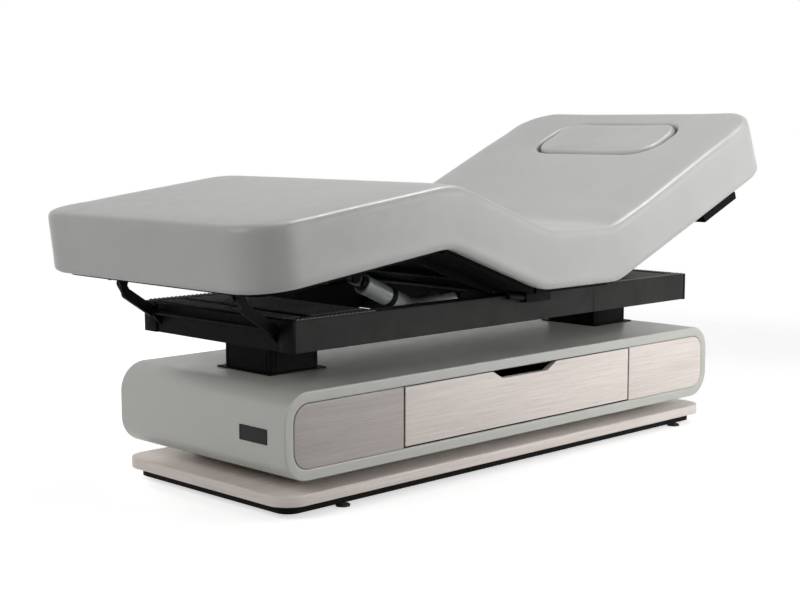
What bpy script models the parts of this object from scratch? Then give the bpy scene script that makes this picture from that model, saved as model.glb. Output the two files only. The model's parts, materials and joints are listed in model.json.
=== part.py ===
"""Spa treatment table: twin lifting columns on a cabinet base, with tilting back, thigh and leg sections.

Metres, +Z up. The origin is on the floor under the middle of the top's length; the x values below count
from the middle of the cabinet. +X points to the head end and -Y to the drawer side. The model stands at its lowest height, with the back raised and the knees bent.
"""
import math

import bmesh
import bpy
from mathutils import Matrix

# Clearance between pieces that touch or seat on each other
GAP = 0.0003

# The cabinet's middle stands this far to the head end of the middle of the whole length
CABINET_OFFSET = 0.0136

# Base
FOOT_RADIUS = 0.017
FOOT_STEM_RADIUS = 0.008
FOOT_PAD_HEIGHT = 0.005
FOOT_HEIGHT = 0.010
FOOT_END_INSET = (0.199, 0.103)
FOOT_INSET = 0.036
SUBFRAME_HEIGHT = 0.021
SUBFRAME_BAR = 0.040
SUBFRAME_INSET = 0.026
PLINTH_THICK = 0.025
RISER_HEIGHT = 0.029
RISER_INSET = (0.133, 0.099)
CABINET_DEPTH = 0.608
CABINET_HEIGHT = 0.1965
CABINET_RADIUS = 0.067
CABINET_WALL = 0.026
PLINTH_RADIUS = 0.060
BOARD = 0.018
PANEL_GAP = 0.001
DRAWER_CENTRE = -0.004
DRAWER_WIDTH = 0.855
CABINET_END = 0.3605
DRAWER_GAP = 0.004
DRAWER_DEPTH = 0.470
DRAWER_BOX_HEIGHT = 0.105
DRAWER_WALL = 0.012
CUTOUT_TOP = 0.240
CUTOUT_BOTTOM = 0.170
CUTOUT_DEPTH = 0.020
RUNNER_HEIGHT = 0.045
RUNNER_DEPTH = 0.0125
RUNNER_SHEET = 0.0015
RUNNER_LENGTH = 0.440
RUNNER_ABOVE_BOTTOM = 0.055

# Columns
COLUMN_SIZE = (0.146, 0.169)
COLUMN_ROOM = (0.0465, 0.1075)
COLUMN_WALL = 0.003
COLUMN_CLEAR = 0.0005
COLUMN_RADIUS = 0.006
GROOVE_DEPTH = 0.0012
GROOVE_WIDTH = 0.003
GROOVE_INSET = 0.012
STAGE_STEP = 0.0018
TRIM_BORDER = 0.014
TRIM_THICK = 0.003

# Lifting frame
FRAME_OVERHANG = (0.1665, 0.0998)
FRAME_WIDTH = 0.5446
FRAME_BOTTOM = 0.3593
FRAME_HEIGHT = 0.072
BEAM_WIDTH = 0.045
CROSS_WIDTH = 0.030
CROSS_RECESS = 0.004
PLATE_LENGTH = 0.200
PLATE_THICK = 0.010
COVER_FOOT_END = -0.466
COVER_HEAD_START = 0.300
COVER_SHEET = 0.003
COVER_TOOTH = 0.002
COVER_PITCH = 0.012
CONTROL_SIZE = (0.160, 0.180, 0.045)
CONTROL_X = 0.400

# Sections of the top
TABLE_WIDTH = 0.840
PAD_THICK = 0.142
BACK_PAD_THICK_PIVOT = 0.1343
BACK_PAD_THICK_END = 0.1604
PAD_EDGE_TOP = 0.025
PAD_EDGE_BOTTOM = 0.016
FOOT_CORNER = 0.110
HEAD_CORNER = 0.116
DECK_THICK = 0.012
DECK_INSET = 0.040
RAIL_HEIGHT = 0.0138
RAIL_WIDTH = 0.010
INNER_RAIL_Y = 0.230
BAR_WIDTH = 0.025
BAR_HEIGHT = 0.012
SHAFT_RADIUS = 0.004
THIGH_PIVOT_X = -0.0652
BACK_PIVOT_X = 0.2328
THIGH_LENGTH = 0.3469
THIGH_BARS = (-0.3240, -0.135)
SEAT_RAIL_REACH = 0.105
LEG_LENGTH = 0.5525
LEG_BARS = (0.250, 0.060)
BACK_LENGTH = 0.765
THIGH_ANGLE = 20.15
KNEE_ANGLE = 27.40
BACK_ANGLE = 21.97
THIGH_NOTCH_ANGLE = 14.6
BACK_NOTCH_ANGLE = 30.6
KNEE_GAP = 0.002

# Face opening
FACE_CENTRE = 0.575
FACE_SIZE = (0.205, 0.426)
FACE_RADIUS = 0.074
FACE_LIP = 0.030
FACE_GAP = 0.003

# Brackets under the head end
HEAD_BRACKET_X = (0.402, 0.563)
HEAD_BRACKET_INSET = (0.050, 0.008)
HEAD_BRACKET_DROP = 0.009
HEAD_BRACKET_EDGE = 0.002

# Foot-end arms
ARM_FORWARD = 0.0125
ARM_PIVOT_Z = 0.4085
ARM_TOP_INSET = 0.1006
ARM_TOP_DROP = 0.0171
ARM_ELBOW = (0.0283, -0.0101)
ARM_Y = 0.220
ARM_THICK = 0.010
ARM_WIDTH = 0.024
ARM_TIP_RADIUS = 0.0096
ARM_SHAFT_RADIUS = 0.005
ARM_END_CLEAR = 0.0035
EAR_THICK = 0.005
EAR_GAP = 0.0012
EAR_RADIUS = 0.010
EAR_DROP = 0.0275
GUSSET_TOP = 0.044
GUSSET_BAR = 0.0094

# Actuators
PIN_RADIUS = 0.005
TUBE_RADIUS = 0.0165
TUBE_START = 0.025
ROD_RADIUS = 0.010
MOTOR_RADIUS = 0.0235
MOTOR_RIM = 0.003
EYE_REACH = 0.030
BORE_START = 0.034
EYE_RADIUS = 0.012
EYE_WIDTH = 0.016
HANGER_RADIUS = 0.0114
CLEVIS_PLATE = 0.005
CLEVIS_GAP = 0.001
OPEN_PIVOT_CLEAR = 0.006
LEG_ACTUATOR_Y = -0.100
LEG_ACTUATOR_TOP = (-0.3307, -0.0707)
LEG_ACTUATOR_FOOT = (-0.100, 0.352)
LEG_MOTOR = (0.034, 0.235)
LEG_TUBE_END = 0.262
LEG_ROD_START = 0.120
BACK_ACTUATOR_Y = 0.100
BACK_ACTUATOR_FOOT = (-0.012, 0.3675)
BACK_CRANK_PIN = (-0.031, -0.0537)
BACK_MOTOR = (0.020, 0.112)
BACK_TUBE_END = 0.176
BACK_ROD_START = 0.080
CROSS_BAR_X = (-0.065, -0.035)
CROSS_BAR_HEIGHT = 0.025

# Heights and depths that follow from the sizes above
SUBFRAME_Z = FOOT_HEIGHT
PLINTH_Z = SUBFRAME_Z + SUBFRAME_HEIGHT
RISER_Z = PLINTH_Z + PLINTH_THICK
CABINET_LENGTH = DRAWER_WIDTH + 2 * CABINET_END
CABINET_Z = RISER_Z + RISER_HEIGHT
CABINET_TOP = CABINET_Z + CABINET_HEIGHT
INNER_Z = CABINET_Z + CABINET_WALL
INNER_HEIGHT = CABINET_HEIGHT - 2 * CABINET_WALL
INNER_RADIUS = CABINET_RADIUS - CABINET_WALL
FRONT_Y = -CABINET_DEPTH / 2
FOOT_X = (FOOT_END_INSET[0] - CABINET_LENGTH / 2, CABINET_LENGTH / 2 - FOOT_END_INSET[1])
DRAWER_X = (DRAWER_CENTRE - DRAWER_WIDTH / 2, DRAWER_CENTRE + DRAWER_WIDTH / 2)
COLUMN_X = (DRAWER_X[0] - BOARD - COLUMN_ROOM[0] - COLUMN_SIZE[0] / 2,
            DRAWER_X[1] + BOARD + COLUMN_ROOM[1] + COLUMN_SIZE[0] / 2)
FRAME_X = (COLUMN_X[0] - FRAME_OVERHANG[0], COLUMN_X[1] + FRAME_OVERHANG[1])
FRAME_TOP = FRAME_BOTTOM + FRAME_HEIGHT
BEAM_INNER_Y = FRAME_WIDTH / 2 - BEAM_WIDTH
COVER_BOTTOM = FRAME_TOP - COVER_TOOTH - COVER_SHEET
ARM_TOP = (ARM_TOP_INSET - LEG_LENGTH, -ARM_TOP_DROP)
PIVOT_Z = FRAME_TOP + GAP + RAIL_HEIGHT / 2
DECK_BOTTOM = RAIL_HEIGHT / 2 + GAP
PAD_BOTTOM = DECK_BOTTOM + DECK_THICK + GAP
OUTER_RAIL_Y = INNER_RAIL_Y + RAIL_WIDTH + GAP
DECK_WIDTH = TABLE_WIDTH - 2 * DECK_INSET


def clear_scene():
    for obj in list(bpy.data.objects):
        bpy.data.objects.remove(obj, do_unlink=True)


def make_collection(name):
    group = bpy.data.collections.new(name)
    bpy.context.scene.collection.children.link(group)
    return group


clear_scene()
PARTS = make_collection("spa_treatment_table")
CUTTERS = make_collection("cutters")
TABLE = bpy.data.objects.new("table", None)
PARTS.objects.link(TABLE)
TABLE.location = (CABINET_OFFSET, 0, 0)


def material(name, color, roughness, metallic=0.0):
    mat = bpy.data.materials.new(name)
    mat.use_nodes = True
    shader = mat.node_tree.nodes["Principled BSDF"]
    shader.inputs["Base Color"].default_value = (*color, 1.0)
    shader.inputs["Roughness"].default_value = roughness
    shader.inputs["Metallic"].default_value = metallic
    return mat


UPHOLSTERY = material("grey_upholstery", (0.46, 0.46, 0.45), 0.55)
LACQUER = material("cabinet_lacquer", (0.36, 0.37, 0.33), 0.45)
VENEER = material("ash_veneer", (0.60, 0.54, 0.50), 0.5)
INTERIOR = material("drawer_interior", (0.30, 0.24, 0.21), 0.6)
BLACK_STEEL = material("black_powder_coat", (0.022, 0.022, 0.021), 0.45)
BOARD_BLACK = material("black_board", (0.02, 0.02, 0.02), 0.7)
MOTOR_GREY = material("motor_housing_grey", (0.45, 0.47, 0.47), 0.4)
BRIGHT_STEEL = material("bright_steel", (0.60, 0.60, 0.60), 0.3, 1.0)
RUBBER = material("black_rubber", (0.02, 0.02, 0.02), 0.8)


def add_object(name, mesh, mat, parent=None, collection=None):
    """Puts a mesh into the scene as one named object."""
    obj = bpy.data.objects.new(name, mesh)
    (collection or PARTS).objects.link(obj)
    if mat:
        mesh.materials.clear()
        mesh.materials.append(mat)
    obj.parent = parent or TABLE
    return obj


def add_cutter(name, mesh, parent=None):
    obj = add_object(name, mesh, None, parent, CUTTERS)
    obj.hide_render = True
    obj.display_type = 'WIRE'
    return obj


def boolean(obj, other, operation='DIFFERENCE'):
    mod = obj.modifiers.new(other.name, 'BOOLEAN')
    mod.operation = operation
    mod.object = other
    mod.solver = 'EXACT'


def smooth(mesh, angle=35):
    mesh.shade_smooth()
    mesh.set_sharp_from_angle(angle=math.radians(angle))


def pivot(name, x, z, angle, parent=None):
    """An empty on a joint's axis, which runs along Y; angle turns the +X side down."""
    empty = bpy.data.objects.new(name, None)
    PARTS.objects.link(empty)
    empty.parent = parent or TABLE
    empty.location = (x, 0, z)
    empty.rotation_euler = (0, math.radians(angle), 0)
    return empty


def turn(point, angle):
    """A point of a pivot's frame, turned into its parent's axes."""
    a = math.radians(angle)
    x, z = point
    return (x * math.cos(a) + z * math.sin(a), -x * math.sin(a) + z * math.cos(a))


def box_mesh(name, low, high):
    mesh = bpy.data.meshes.new(name)
    bm = bmesh.new()
    bmesh.ops.create_cube(bm, size=1.0)
    size = [b - a for a, b in zip(low, high)]
    centre = [(a + b) / 2 for a, b in zip(low, high)]
    bm.transform(Matrix.Translation(centre) @ Matrix.Diagonal((*size, 1.0)))
    bm.to_mesh(mesh)
    bm.free()
    return mesh


def box(name, low, high, mat, parent=None, bevel=0.0):
    obj = add_object(name, box_mesh(name, low, high), mat, parent)
    if bevel:
        add_bevel(obj, bevel)
    return obj


def add_bevel(obj, width, segments=2, angle=40):
    mod = obj.modifiers.new("edge", 'BEVEL')
    mod.width = width
    mod.segments = segments
    mod.limit_method = 'ANGLE'
    mod.angle_limit = math.radians(angle)
    return mod


def bevel_outer_edges(mesh, width):
    """Rounds the edges that stand out, and leaves inner corners as they are."""
    bm = bmesh.new()
    bm.from_mesh(mesh)
    edges = [e for e in bm.edges if e.calc_face_angle_signed() > math.radians(40)]
    bmesh.ops.bevel(bm, geom=edges, offset=width, segments=2, affect='EDGES', profile=0.5)
    bm.to_mesh(mesh)
    bm.free()


def rod_mesh(name, radius, length, sides=16):
    """A cylinder along Y, centred on the origin."""
    mesh = bpy.data.meshes.new(name)
    bm = bmesh.new()
    bmesh.ops.create_cone(bm, cap_ends=True, segments=sides, radius1=radius, radius2=radius, depth=length)
    bm.transform(Matrix.Rotation(math.pi / 2, 4, 'X'))
    bm.to_mesh(mesh)
    bm.free()
    smooth(mesh)
    return mesh


def arc(cx, cy, radius, start, end, steps):
    """Points along an arc, both ends included; angles in degrees."""
    points = []
    for i in range(steps + 1):
        a = math.radians(start + (end - start) * i / steps)
        points.append((cx + radius * math.cos(a), cy + radius * math.sin(a)))
    return points


def rounded_rect(x0, y0, x1, y1, radii, steps=6):
    """Outline with its own radius at each corner: lower left, lower right, upper right, upper left."""
    corners = ((x0, y0, 180, 1, 1), (x1, y0, 270, -1, 1), (x1, y1, 0, -1, -1), (x0, y1, 90, 1, -1))
    points = []
    for (x, y, start, sx, sy), radius in zip(corners, radii):
        if radius <= 0:
            points.append((x, y))
        else:
            points += arc(x + sx * radius, y + sy * radius, radius, start, start + 90, steps)
    return points


def capsule(p, q, radius, steps=6):
    """Outline of a round-ended bar from p to q."""
    a = math.degrees(math.atan2(q[1] - p[1], q[0] - p[0]))
    return arc(*q, radius, a - 90, a + 90, steps) + arc(*p, radius, a + 90, a + 270, steps)


def circle(cx, cy, radius, sides=16):
    return arc(cx, cy, radius, 0, 360, sides)[:-1]


def outline_mesh(name, loops, thickness):
    """A flat outline with holes, filled and extruded about its own plane, then welded."""
    curve = bpy.data.curves.new(name, 'CURVE')
    curve.dimensions = '2D'
    curve.fill_mode = 'BOTH'
    curve.extrude = thickness / 2
    for loop in loops:
        spline = curve.splines.new('POLY')
        spline.points.add(len(loop) - 1)
        for point, (x, y) in zip(spline.points, loop):
            point.co = (x, y, 0, 1)
        spline.use_cyclic_u = True
    temp = bpy.data.objects.new(name + "_curve", curve)
    CUTTERS.objects.link(temp)
    depsgraph = bpy.context.evaluated_depsgraph_get()
    mesh = bpy.data.meshes.new_from_object(temp.evaluated_get(depsgraph))
    mesh.name = name
    bpy.data.objects.remove(temp)
    bm = bmesh.new()
    bm.from_mesh(mesh)
    bmesh.ops.remove_doubles(bm, verts=bm.verts, dist=0.00005)
    bm.to_mesh(mesh)
    bm.free()
    smooth(mesh)
    return mesh


def stand_along_y(mesh, y):
    """Turns a flat outline's plane to XZ, with its middle at y."""
    mesh.transform(Matrix.Translation((0, y, 0)) @ Matrix.Rotation(math.pi / 2, 4, 'X'))
    return mesh


def stand_along_x(mesh, x):
    """Turns a flat outline's plane to YZ, with its middle at x."""
    turn_up = Matrix.Rotation(math.pi / 2, 4, 'Z') @ Matrix.Rotation(math.pi / 2, 4, 'X')
    mesh.transform(Matrix.Translation((x, 0, 0)) @ turn_up)
    return mesh


def side_plate(name, loops, y, thickness):
    return stand_along_y(outline_mesh(name, loops, thickness), y)


def flat_plate(name, loops, low, high):
    mesh = outline_mesh(name, loops, high - low)
    mesh.transform(Matrix.Translation((0, 0, (low + high) / 2)))
    return mesh


def join_meshes(name, meshes):
    """One mesh that holds several closed shells, to be united by Booleans."""
    bm = bmesh.new()
    for mesh in meshes:
        bm.from_mesh(mesh)
        bpy.data.meshes.remove(mesh)
    joined = bpy.data.meshes.new(name)
    bm.to_mesh(joined)
    bm.free()
    return joined


def turned(name, profile, mat, parent=None, sides=24):
    """A profile of (radius, z) points run down its outer side and turned about Z."""
    mesh = bpy.data.meshes.new(name)
    mesh.from_pydata([(r, 0, z) for r, z in profile], [(i, i + 1) for i in range(len(profile) - 1)], [])
    obj = add_object(name, mesh, mat, parent)
    mod = obj.modifiers.new("turn", 'SCREW')
    mod.steps = sides
    mod.render_steps = sides
    mod.use_merge_vertices = True
    mod.merge_threshold = 0.00005
    return obj


def levelling_feet():
    number = 1
    y = CABINET_DEPTH / 2 - FOOT_INSET
    for x in FOOT_X:
        for side in (-1, 1):
            pad = FOOT_PAD_HEIGHT
            profile = [(0, FOOT_HEIGHT - GAP), (FOOT_STEM_RADIUS, FOOT_HEIGHT - GAP),
                       (FOOT_STEM_RADIUS, pad + 0.001), (FOOT_RADIUS - 0.002, pad),
                       (FOOT_RADIUS, pad - 0.0015), (FOOT_RADIUS, 0), (0, 0)]
            foot = turned("levelling_foot_%d" % number, profile, RUBBER)
            foot.location = (x, side * y, 0)
            number += 1


def base_subframe():
    """Steel ring with a cross member under each column."""
    half_x = CABINET_LENGTH / 2 - SUBFRAME_INSET
    half_y = CABINET_DEPTH / 2 - SUBFRAME_INSET
    bar = SUBFRAME_BAR
    radius = PLINTH_RADIUS - SUBFRAME_INSET
    loops = [rounded_rect(-half_x, -half_y, half_x, half_y, [radius] * 4)]
    edges = [-half_x + bar]
    for x in COLUMN_X:
        edges += [x - bar / 2, x + bar / 2]
    edges.append(half_x - bar)
    for start, end in zip(edges[::2], edges[1::2]):
        loops.append(rounded_rect(start, -half_y + bar, end, half_y - bar, [0] * 4))
    add_object("base_subframe", flat_plate("base_subframe", loops, SUBFRAME_Z, PLINTH_Z - GAP), BLACK_STEEL)


def plinth_board():
    half_x = CABINET_LENGTH / 2
    half_y = CABINET_DEPTH / 2
    loop = rounded_rect(-half_x, -half_y, half_x, half_y, [PLINTH_RADIUS] * 4, 8)
    obj = add_object("plinth_board", flat_plate("plinth_board", [loop], PLINTH_Z, RISER_Z), VENEER)
    add_bevel(obj, 0.0015, 1, 60)


def column_hole(x, extra):
    """Plan outline of an opening around a column, larger than the tube by extra on each side."""
    half_x = COLUMN_SIZE[0] / 2 + extra
    half_y = COLUMN_SIZE[1] / 2 + extra
    return rounded_rect(x - half_x, -half_y, x + half_x, half_y, [COLUMN_RADIUS] * 4, 3)


def cut_column_holes(obj, low, high):
    for x in COLUMN_X:
        hole = flat_plate("hole", [column_hole(x, 0.001)], low, high)
        boolean(obj, add_cutter(obj.name + "_column_hole", hole))


def cabinet_riser():
    """Recessed block between the plinth and the cabinet; the head column leaves a notch in its end."""
    half_x = CABINET_LENGTH / 2 - RISER_INSET[0]
    half_y = CABINET_DEPTH / 2 - RISER_INSET[1]
    loops = [rounded_rect(-half_x, -half_y, half_x, half_y, [0.020] * 4, 4)]
    mesh = flat_plate("cabinet_riser", loops, RISER_Z + GAP, CABINET_Z - GAP)
    riser = add_object("cabinet_riser", mesh, BLACK_STEEL)
    cut_column_holes(riser, PLINTH_Z, CABINET_Z + 0.01)


def cabinet_shell():
    """One board wrapped round into a flat tube along Y, with a hole for each column through both sides."""
    half = CABINET_LENGTH / 2
    wall = CABINET_WALL
    outer = rounded_rect(-half, CABINET_Z, half, CABINET_TOP, [CABINET_RADIUS] * 4, 10)
    inner = rounded_rect(-half + wall, INNER_Z, half - wall, INNER_Z + INNER_HEIGHT, [INNER_RADIUS] * 4, 10)
    shell = add_object("cabinet_shell", side_plate("cabinet_shell", [outer, inner], 0, CABINET_DEPTH), LACQUER)
    cut_column_holes(shell, CABINET_Z - 0.01, CABINET_TOP + 0.01)


def panel_outline(x0, x1, left_radius, right_radius):
    """Front outline of a board set into the cabinet's mouth."""
    gap = PANEL_GAP
    radii = [left_radius, right_radius, right_radius, left_radius]
    return rounded_rect(x0, INNER_Z + gap, x1, INNER_Z + INNER_HEIGHT - gap, radii)


def cabinet_panels():
    half = CABINET_LENGTH / 2 - CABINET_WALL - PANEL_GAP
    radius = INNER_RADIUS - PANEL_GAP
    left, right = DRAWER_X
    y = FRONT_Y + BOARD / 2
    outlines = (("front_panel_foot", panel_outline(-half, left, radius, 0), y),
                ("front_panel_head", panel_outline(right, half, 0, radius), y),
                ("back_panel", panel_outline(-half, half, radius, radius), -y))
    for name, outline, middle in outlines:
        add_object(name, side_plate(name, [outline], middle, BOARD), VENEER)


def dividers():
    """Upright boards beside the drawer that carry its runners; their inner faces line up with the panels."""
    front = FRONT_Y + BOARD + GAP
    back = -front
    low = INNER_Z + GAP
    high = INNER_Z + INNER_HEIGHT - GAP
    for name, side in (("divider_foot", -1), ("divider_head", 1)):
        inner = DRAWER_CENTRE + side * DRAWER_WIDTH / 2
        outer = inner + side * BOARD
        box(name, (min(inner, outer), front, low), (max(inner, outer), back, high), INTERIOR)


def drawer_front(drawer):
    half = DRAWER_WIDTH / 2 - DRAWER_GAP
    low = INNER_Z + DRAWER_GAP / 2
    high = INNER_Z + INNER_HEIGHT - DRAWER_GAP / 2
    c = DRAWER_CENTRE
    outline = [(c - half, low), (c + half, low), (c + half, high), (c + CUTOUT_TOP / 2, high),
               (c + CUTOUT_BOTTOM / 2, high - CUTOUT_DEPTH), (c - CUTOUT_BOTTOM / 2, high - CUTOUT_DEPTH),
               (c - CUTOUT_TOP / 2, high), (c - half, high)]
    mesh = side_plate("drawer_front", [outline], FRONT_Y + BOARD / 2, BOARD)
    add_object("drawer_front", mesh, VENEER, drawer)


def drawer_box(drawer):
    """Open-topped box between the runners, kept below the finger cut-out."""
    half = DRAWER_WIDTH / 2 - RUNNER_DEPTH - 3 * GAP
    front = FRONT_Y + BOARD + GAP
    low = INNER_Z + DRAWER_GAP
    high = low + DRAWER_BOX_HEIGHT
    wall = DRAWER_WALL
    c = DRAWER_CENTRE
    mesh = box_mesh("drawer_box", (c - half, front, low), (c + half, front + DRAWER_DEPTH, high))
    obj = add_object("drawer_box", mesh, INTERIOR, drawer)
    hollow = box_mesh("hollow", (c - half + wall, front + wall, low + wall),
                      (c + half - wall, front + DRAWER_DEPTH - wall, high + wall))
    boolean(obj, add_cutter("drawer_hollow", hollow, drawer))


def drawer_runners(drawer):
    """A C channel on each divider, and a bar on the drawer that slides in it."""
    z = INNER_Z + RUNNER_ABOVE_BOTTOM
    half = RUNNER_HEIGHT / 2
    front = FRONT_Y + BOARD + GAP
    sheet = RUNNER_SHEET
    for name, side in (("foot", -1), ("head", 1)):
        wall = DRAWER_CENTRE + side * (DRAWER_WIDTH / 2 - GAP)
        mouth = wall - side * RUNNER_DEPTH
        channel = [(wall, z - half), (wall, z + half), (mouth, z + half), (mouth, z + half - 3 * sheet),
                   (mouth + side * sheet, z + half - 3 * sheet), (mouth + side * sheet, z + half - sheet),
                   (wall - side * sheet, z + half - sheet), (wall - side * sheet, z - half + sheet),
                   (mouth + side * sheet, z - half + sheet), (mouth + side * sheet, z - half + 3 * sheet),
                   (mouth, z - half + 3 * sheet), (mouth, z - half)]
        mesh = side_plate("runner", [channel], front + RUNNER_LENGTH / 2, RUNNER_LENGTH)
        add_object("drawer_runner_" + name, mesh, BRIGHT_STEEL)
        bar_half = half - 3 * sheet - GAP
        inner = wall - side * (sheet + GAP)
        outer = mouth - side * GAP
        web = half - sheet - GAP
        neck = mouth + side * (sheet + GAP)
        slide = [(inner, z - web), (inner, z + web), (neck, z + web), (neck, z + bar_half),
                 (outer, z + bar_half), (outer, z - bar_half), (neck, z - bar_half), (neck, z - web)]
        mesh = side_plate("slide", [slide], front + RUNNER_LENGTH / 2, RUNNER_LENGTH)
        add_object("drawer_slide_" + name, mesh, BRIGHT_STEEL, drawer)


def column_outline(x, stage):
    """Outside of one tube of the column, with two fine grooves near the corners of each side."""
    step = stage * (COLUMN_WALL + COLUMN_CLEAR)
    half_x = COLUMN_SIZE[0] / 2 - step
    half_y = COLUMN_SIZE[1] / 2 - step
    d = GROOVE_DEPTH
    w = GROOVE_WIDTH

    def side(length):
        notch = []
        for start in (-length + GROOVE_INSET, length - GROOVE_INSET - w):
            notch += [(start, 0), (start, d), (start + w, d), (start + w, 0)]
        return notch

    corner = COLUMN_RADIUS
    points = []
    for t, depth in side(half_x):
        points.append((x + t, -half_y + depth))
    points += arc(x + half_x - corner, -half_y + corner, corner, -90, 0, 3)
    for t, depth in side(half_y):
        points.append((x + half_x - depth, t))
    points += arc(x + half_x - corner, half_y - corner, corner, 0, 90, 3)
    for t, depth in side(half_x):
        points.append((x - t, half_y - depth))
    points += arc(x - half_x + corner, half_y - corner, corner, 90, 180, 3)
    for t, depth in side(half_y):
        points.append((x - half_x + depth, -t))
    points += arc(x - half_x + corner, -half_y + corner, corner, 180, 270, 3)
    return points


def column_bore(x, stage):
    step = stage * (COLUMN_WALL + COLUMN_CLEAR) + COLUMN_WALL
    half_x = COLUMN_SIZE[0] / 2 - step
    half_y = COLUMN_SIZE[1] / 2 - step
    return rounded_rect(x - half_x, -half_y, x + half_x, half_y, [COLUMN_RADIUS] * 4, 3)


def columns(lift):
    """Three nested tubes at each column; every stage starts and ends a little above the one outside it."""
    stages = (("outer", None), ("middle", None), ("inner", lift))
    for end, x in zip(("foot", "head"), COLUMN_X):
        for stage, (stage_name, parent) in enumerate(stages):
            low = RISER_Z + GAP + 0.003 * stage
            high = FRAME_BOTTOM - GAP - STAGE_STEP * (2 - stage)
            name = "column_%s_%s" % (end, stage_name)
            loops = [column_outline(x, stage), column_bore(x, stage)]
            add_object(name, flat_plate(name, loops, low, high), BLACK_STEEL, parent)
        half_x = COLUMN_SIZE[0] / 2 + TRIM_BORDER
        half_y = COLUMN_SIZE[1] / 2 + TRIM_BORDER
        plan = rounded_rect(x - half_x, -half_y, x + half_x, half_y, [0.003] * 4, 2)
        low = CABINET_TOP + GAP
        trim = flat_plate("column_trim_" + end, [plan, column_hole(x, 2 * GAP)], low, low + TRIM_THICK)
        add_object("column_trim_" + end, trim, BLACK_STEEL)


def frame_beams(lift):
    """Closed steel bars along both sides, over the whole length."""
    x0, x1 = FRAME_X
    half = FRAME_WIDTH / 2
    for name, side in (("frame_beam_near", -1), ("frame_beam_far", 1)):
        y0, y1 = sorted((side * half, side * BEAM_INNER_Y))
        outer = rounded_rect(y0, FRAME_BOTTOM, y1, FRAME_TOP, [0.003] * 4, 2)
        mesh = stand_along_x(outline_mesh(name, [outer], x1 - x0), (x0 + x1) / 2)
        add_object(name, mesh, BLACK_STEEL, lift)


def arm_pivot():
    return (FRAME_X[0] - ARM_FORWARD, ARM_PIVOT_Z)


def frame_crosses(lift):
    """End members between the beams; the foot one carries the ears that the arms' shaft turns in."""
    half = BEAM_INNER_Y - GAP
    top = COVER_BOTTOM - GAP
    x1 = FRAME_X[1] - CROSS_RECESS
    head = box_mesh("head", (x1 - CROSS_WIDTH, -half, FRAME_BOTTOM), (x1, half, top))
    add_object("frame_cross_head", head, BLACK_STEEL, lift)
    x0 = FRAME_X[0] + CROSS_RECESS
    foot = box_mesh("foot", (x0, -half, FRAME_BOTTOM), (x0 + CROSS_WIDTH, half, top))
    cross = add_object("frame_cross_foot", foot, BLACK_STEEL, lift)
    px, pz = arm_pivot()
    loops = [capsule((x0 + EAR_RADIUS, pz - EAR_DROP), (px, pz), EAR_RADIUS, 5),
             circle(px, pz, ARM_SHAFT_RADIUS + GAP)]
    for side in (-1, 1):
        y = side * (ARM_Y - ARM_THICK / 2 - EAR_GAP - EAR_THICK / 2)
        boolean(cross, add_cutter("arm_ear", side_plate("ear", loops, y, EAR_THICK), lift), 'UNION')


def column_plates(lift):
    y = BEAM_INNER_Y - GAP
    for name, x in zip(("column_plate_foot", "column_plate_head"), COLUMN_X):
        half = PLATE_LENGTH / 2
        end = min(x + half, FRAME_X[1] - CROSS_RECESS - CROSS_WIDTH - GAP)
        start = max(x - half, FRAME_X[0] + CROSS_RECESS + CROSS_WIDTH + GAP)
        box(name, (start, -y, FRAME_BOTTOM), (end, y, FRAME_BOTTOM + PLATE_THICK), BLACK_STEEL, lift)


def cover_plates(lift):
    """Sheets with a saw-tooth top that lie on the end members, flush with the beams."""
    spans = (("cover_plate_foot", FRAME_X[0], COVER_FOOT_END), ("cover_plate_head", COVER_HEAD_START, FRAME_X[1]))
    top = FRAME_TOP
    root = top - COVER_TOOTH
    low = COVER_BOTTOM
    for name, x0, x1 in spans:
        count = int((x1 - x0) / COVER_PITCH)
        pitch = (x1 - x0) / count
        saw = [(x0, low), (x1, low), (x1, root)]
        for i in range(count):
            right = x1 - i * pitch
            saw += [(right - 0.35 * pitch, top), (right - 0.65 * pitch, top), (right - pitch, root)]
        y = BEAM_INNER_Y - GAP
        add_object(name, side_plate(name, [saw], 0, 2 * y), BLACK_STEEL, lift)


def actuator_cross_bar(lift):
    """Bar between the beams with a pair of clevis plates for each actuator."""
    x0, x1 = CROSS_BAR_X
    y = BEAM_INNER_Y - GAP
    mesh = box_mesh("bar", (x0, -y, FRAME_BOTTOM), (x1, y, FRAME_BOTTOM + CROSS_BAR_HEIGHT))
    bar = add_object("actuator_cross_bar", mesh, BLACK_STEEL, lift)
    middle = ((x0 + x1) / 2, FRAME_BOTTOM + CROSS_BAR_HEIGHT / 2)
    for y, foot, clear in ((LEG_ACTUATOR_Y, LEG_ACTUATOR_FOOT, OPEN_PIVOT_CLEAR),
                           (BACK_ACTUATOR_Y, BACK_ACTUATOR_FOOT, CLEVIS_GAP)):
        offset = EYE_WIDTH / 2 + clear + CLEVIS_PLATE / 2
        for side in (-1, 1):
            plate = side_plate("clevis", [capsule(middle, foot, EYE_RADIUS)], y + side * offset, CLEVIS_PLATE)
            boolean(bar, add_cutter("clevis_plate", plate, lift), 'UNION')
    x, z = BACK_ACTUATOR_FOOT
    pin = rod_mesh("pin", PIN_RADIUS, EYE_WIDTH + 2 * CLEVIS_GAP + CLEVIS_PLATE)
    pin.transform(Matrix.Translation((x, BACK_ACTUATOR_Y, z)))
    boolean(bar, add_cutter("back_actuator_pin", pin, lift), 'UNION')


def control_box(lift):
    """Sealed housing for the electronics, hung between the beams under the head-end cover."""
    length, width, height = CONTROL_SIZE
    top = COVER_BOTTOM - GAP
    low = (CONTROL_X - length / 2, -width / 2, top - height)
    high = (CONTROL_X + length / 2, width / 2, top)
    box("control_box", low, high, BOARD_BLACK, lift, 0.004)


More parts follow.
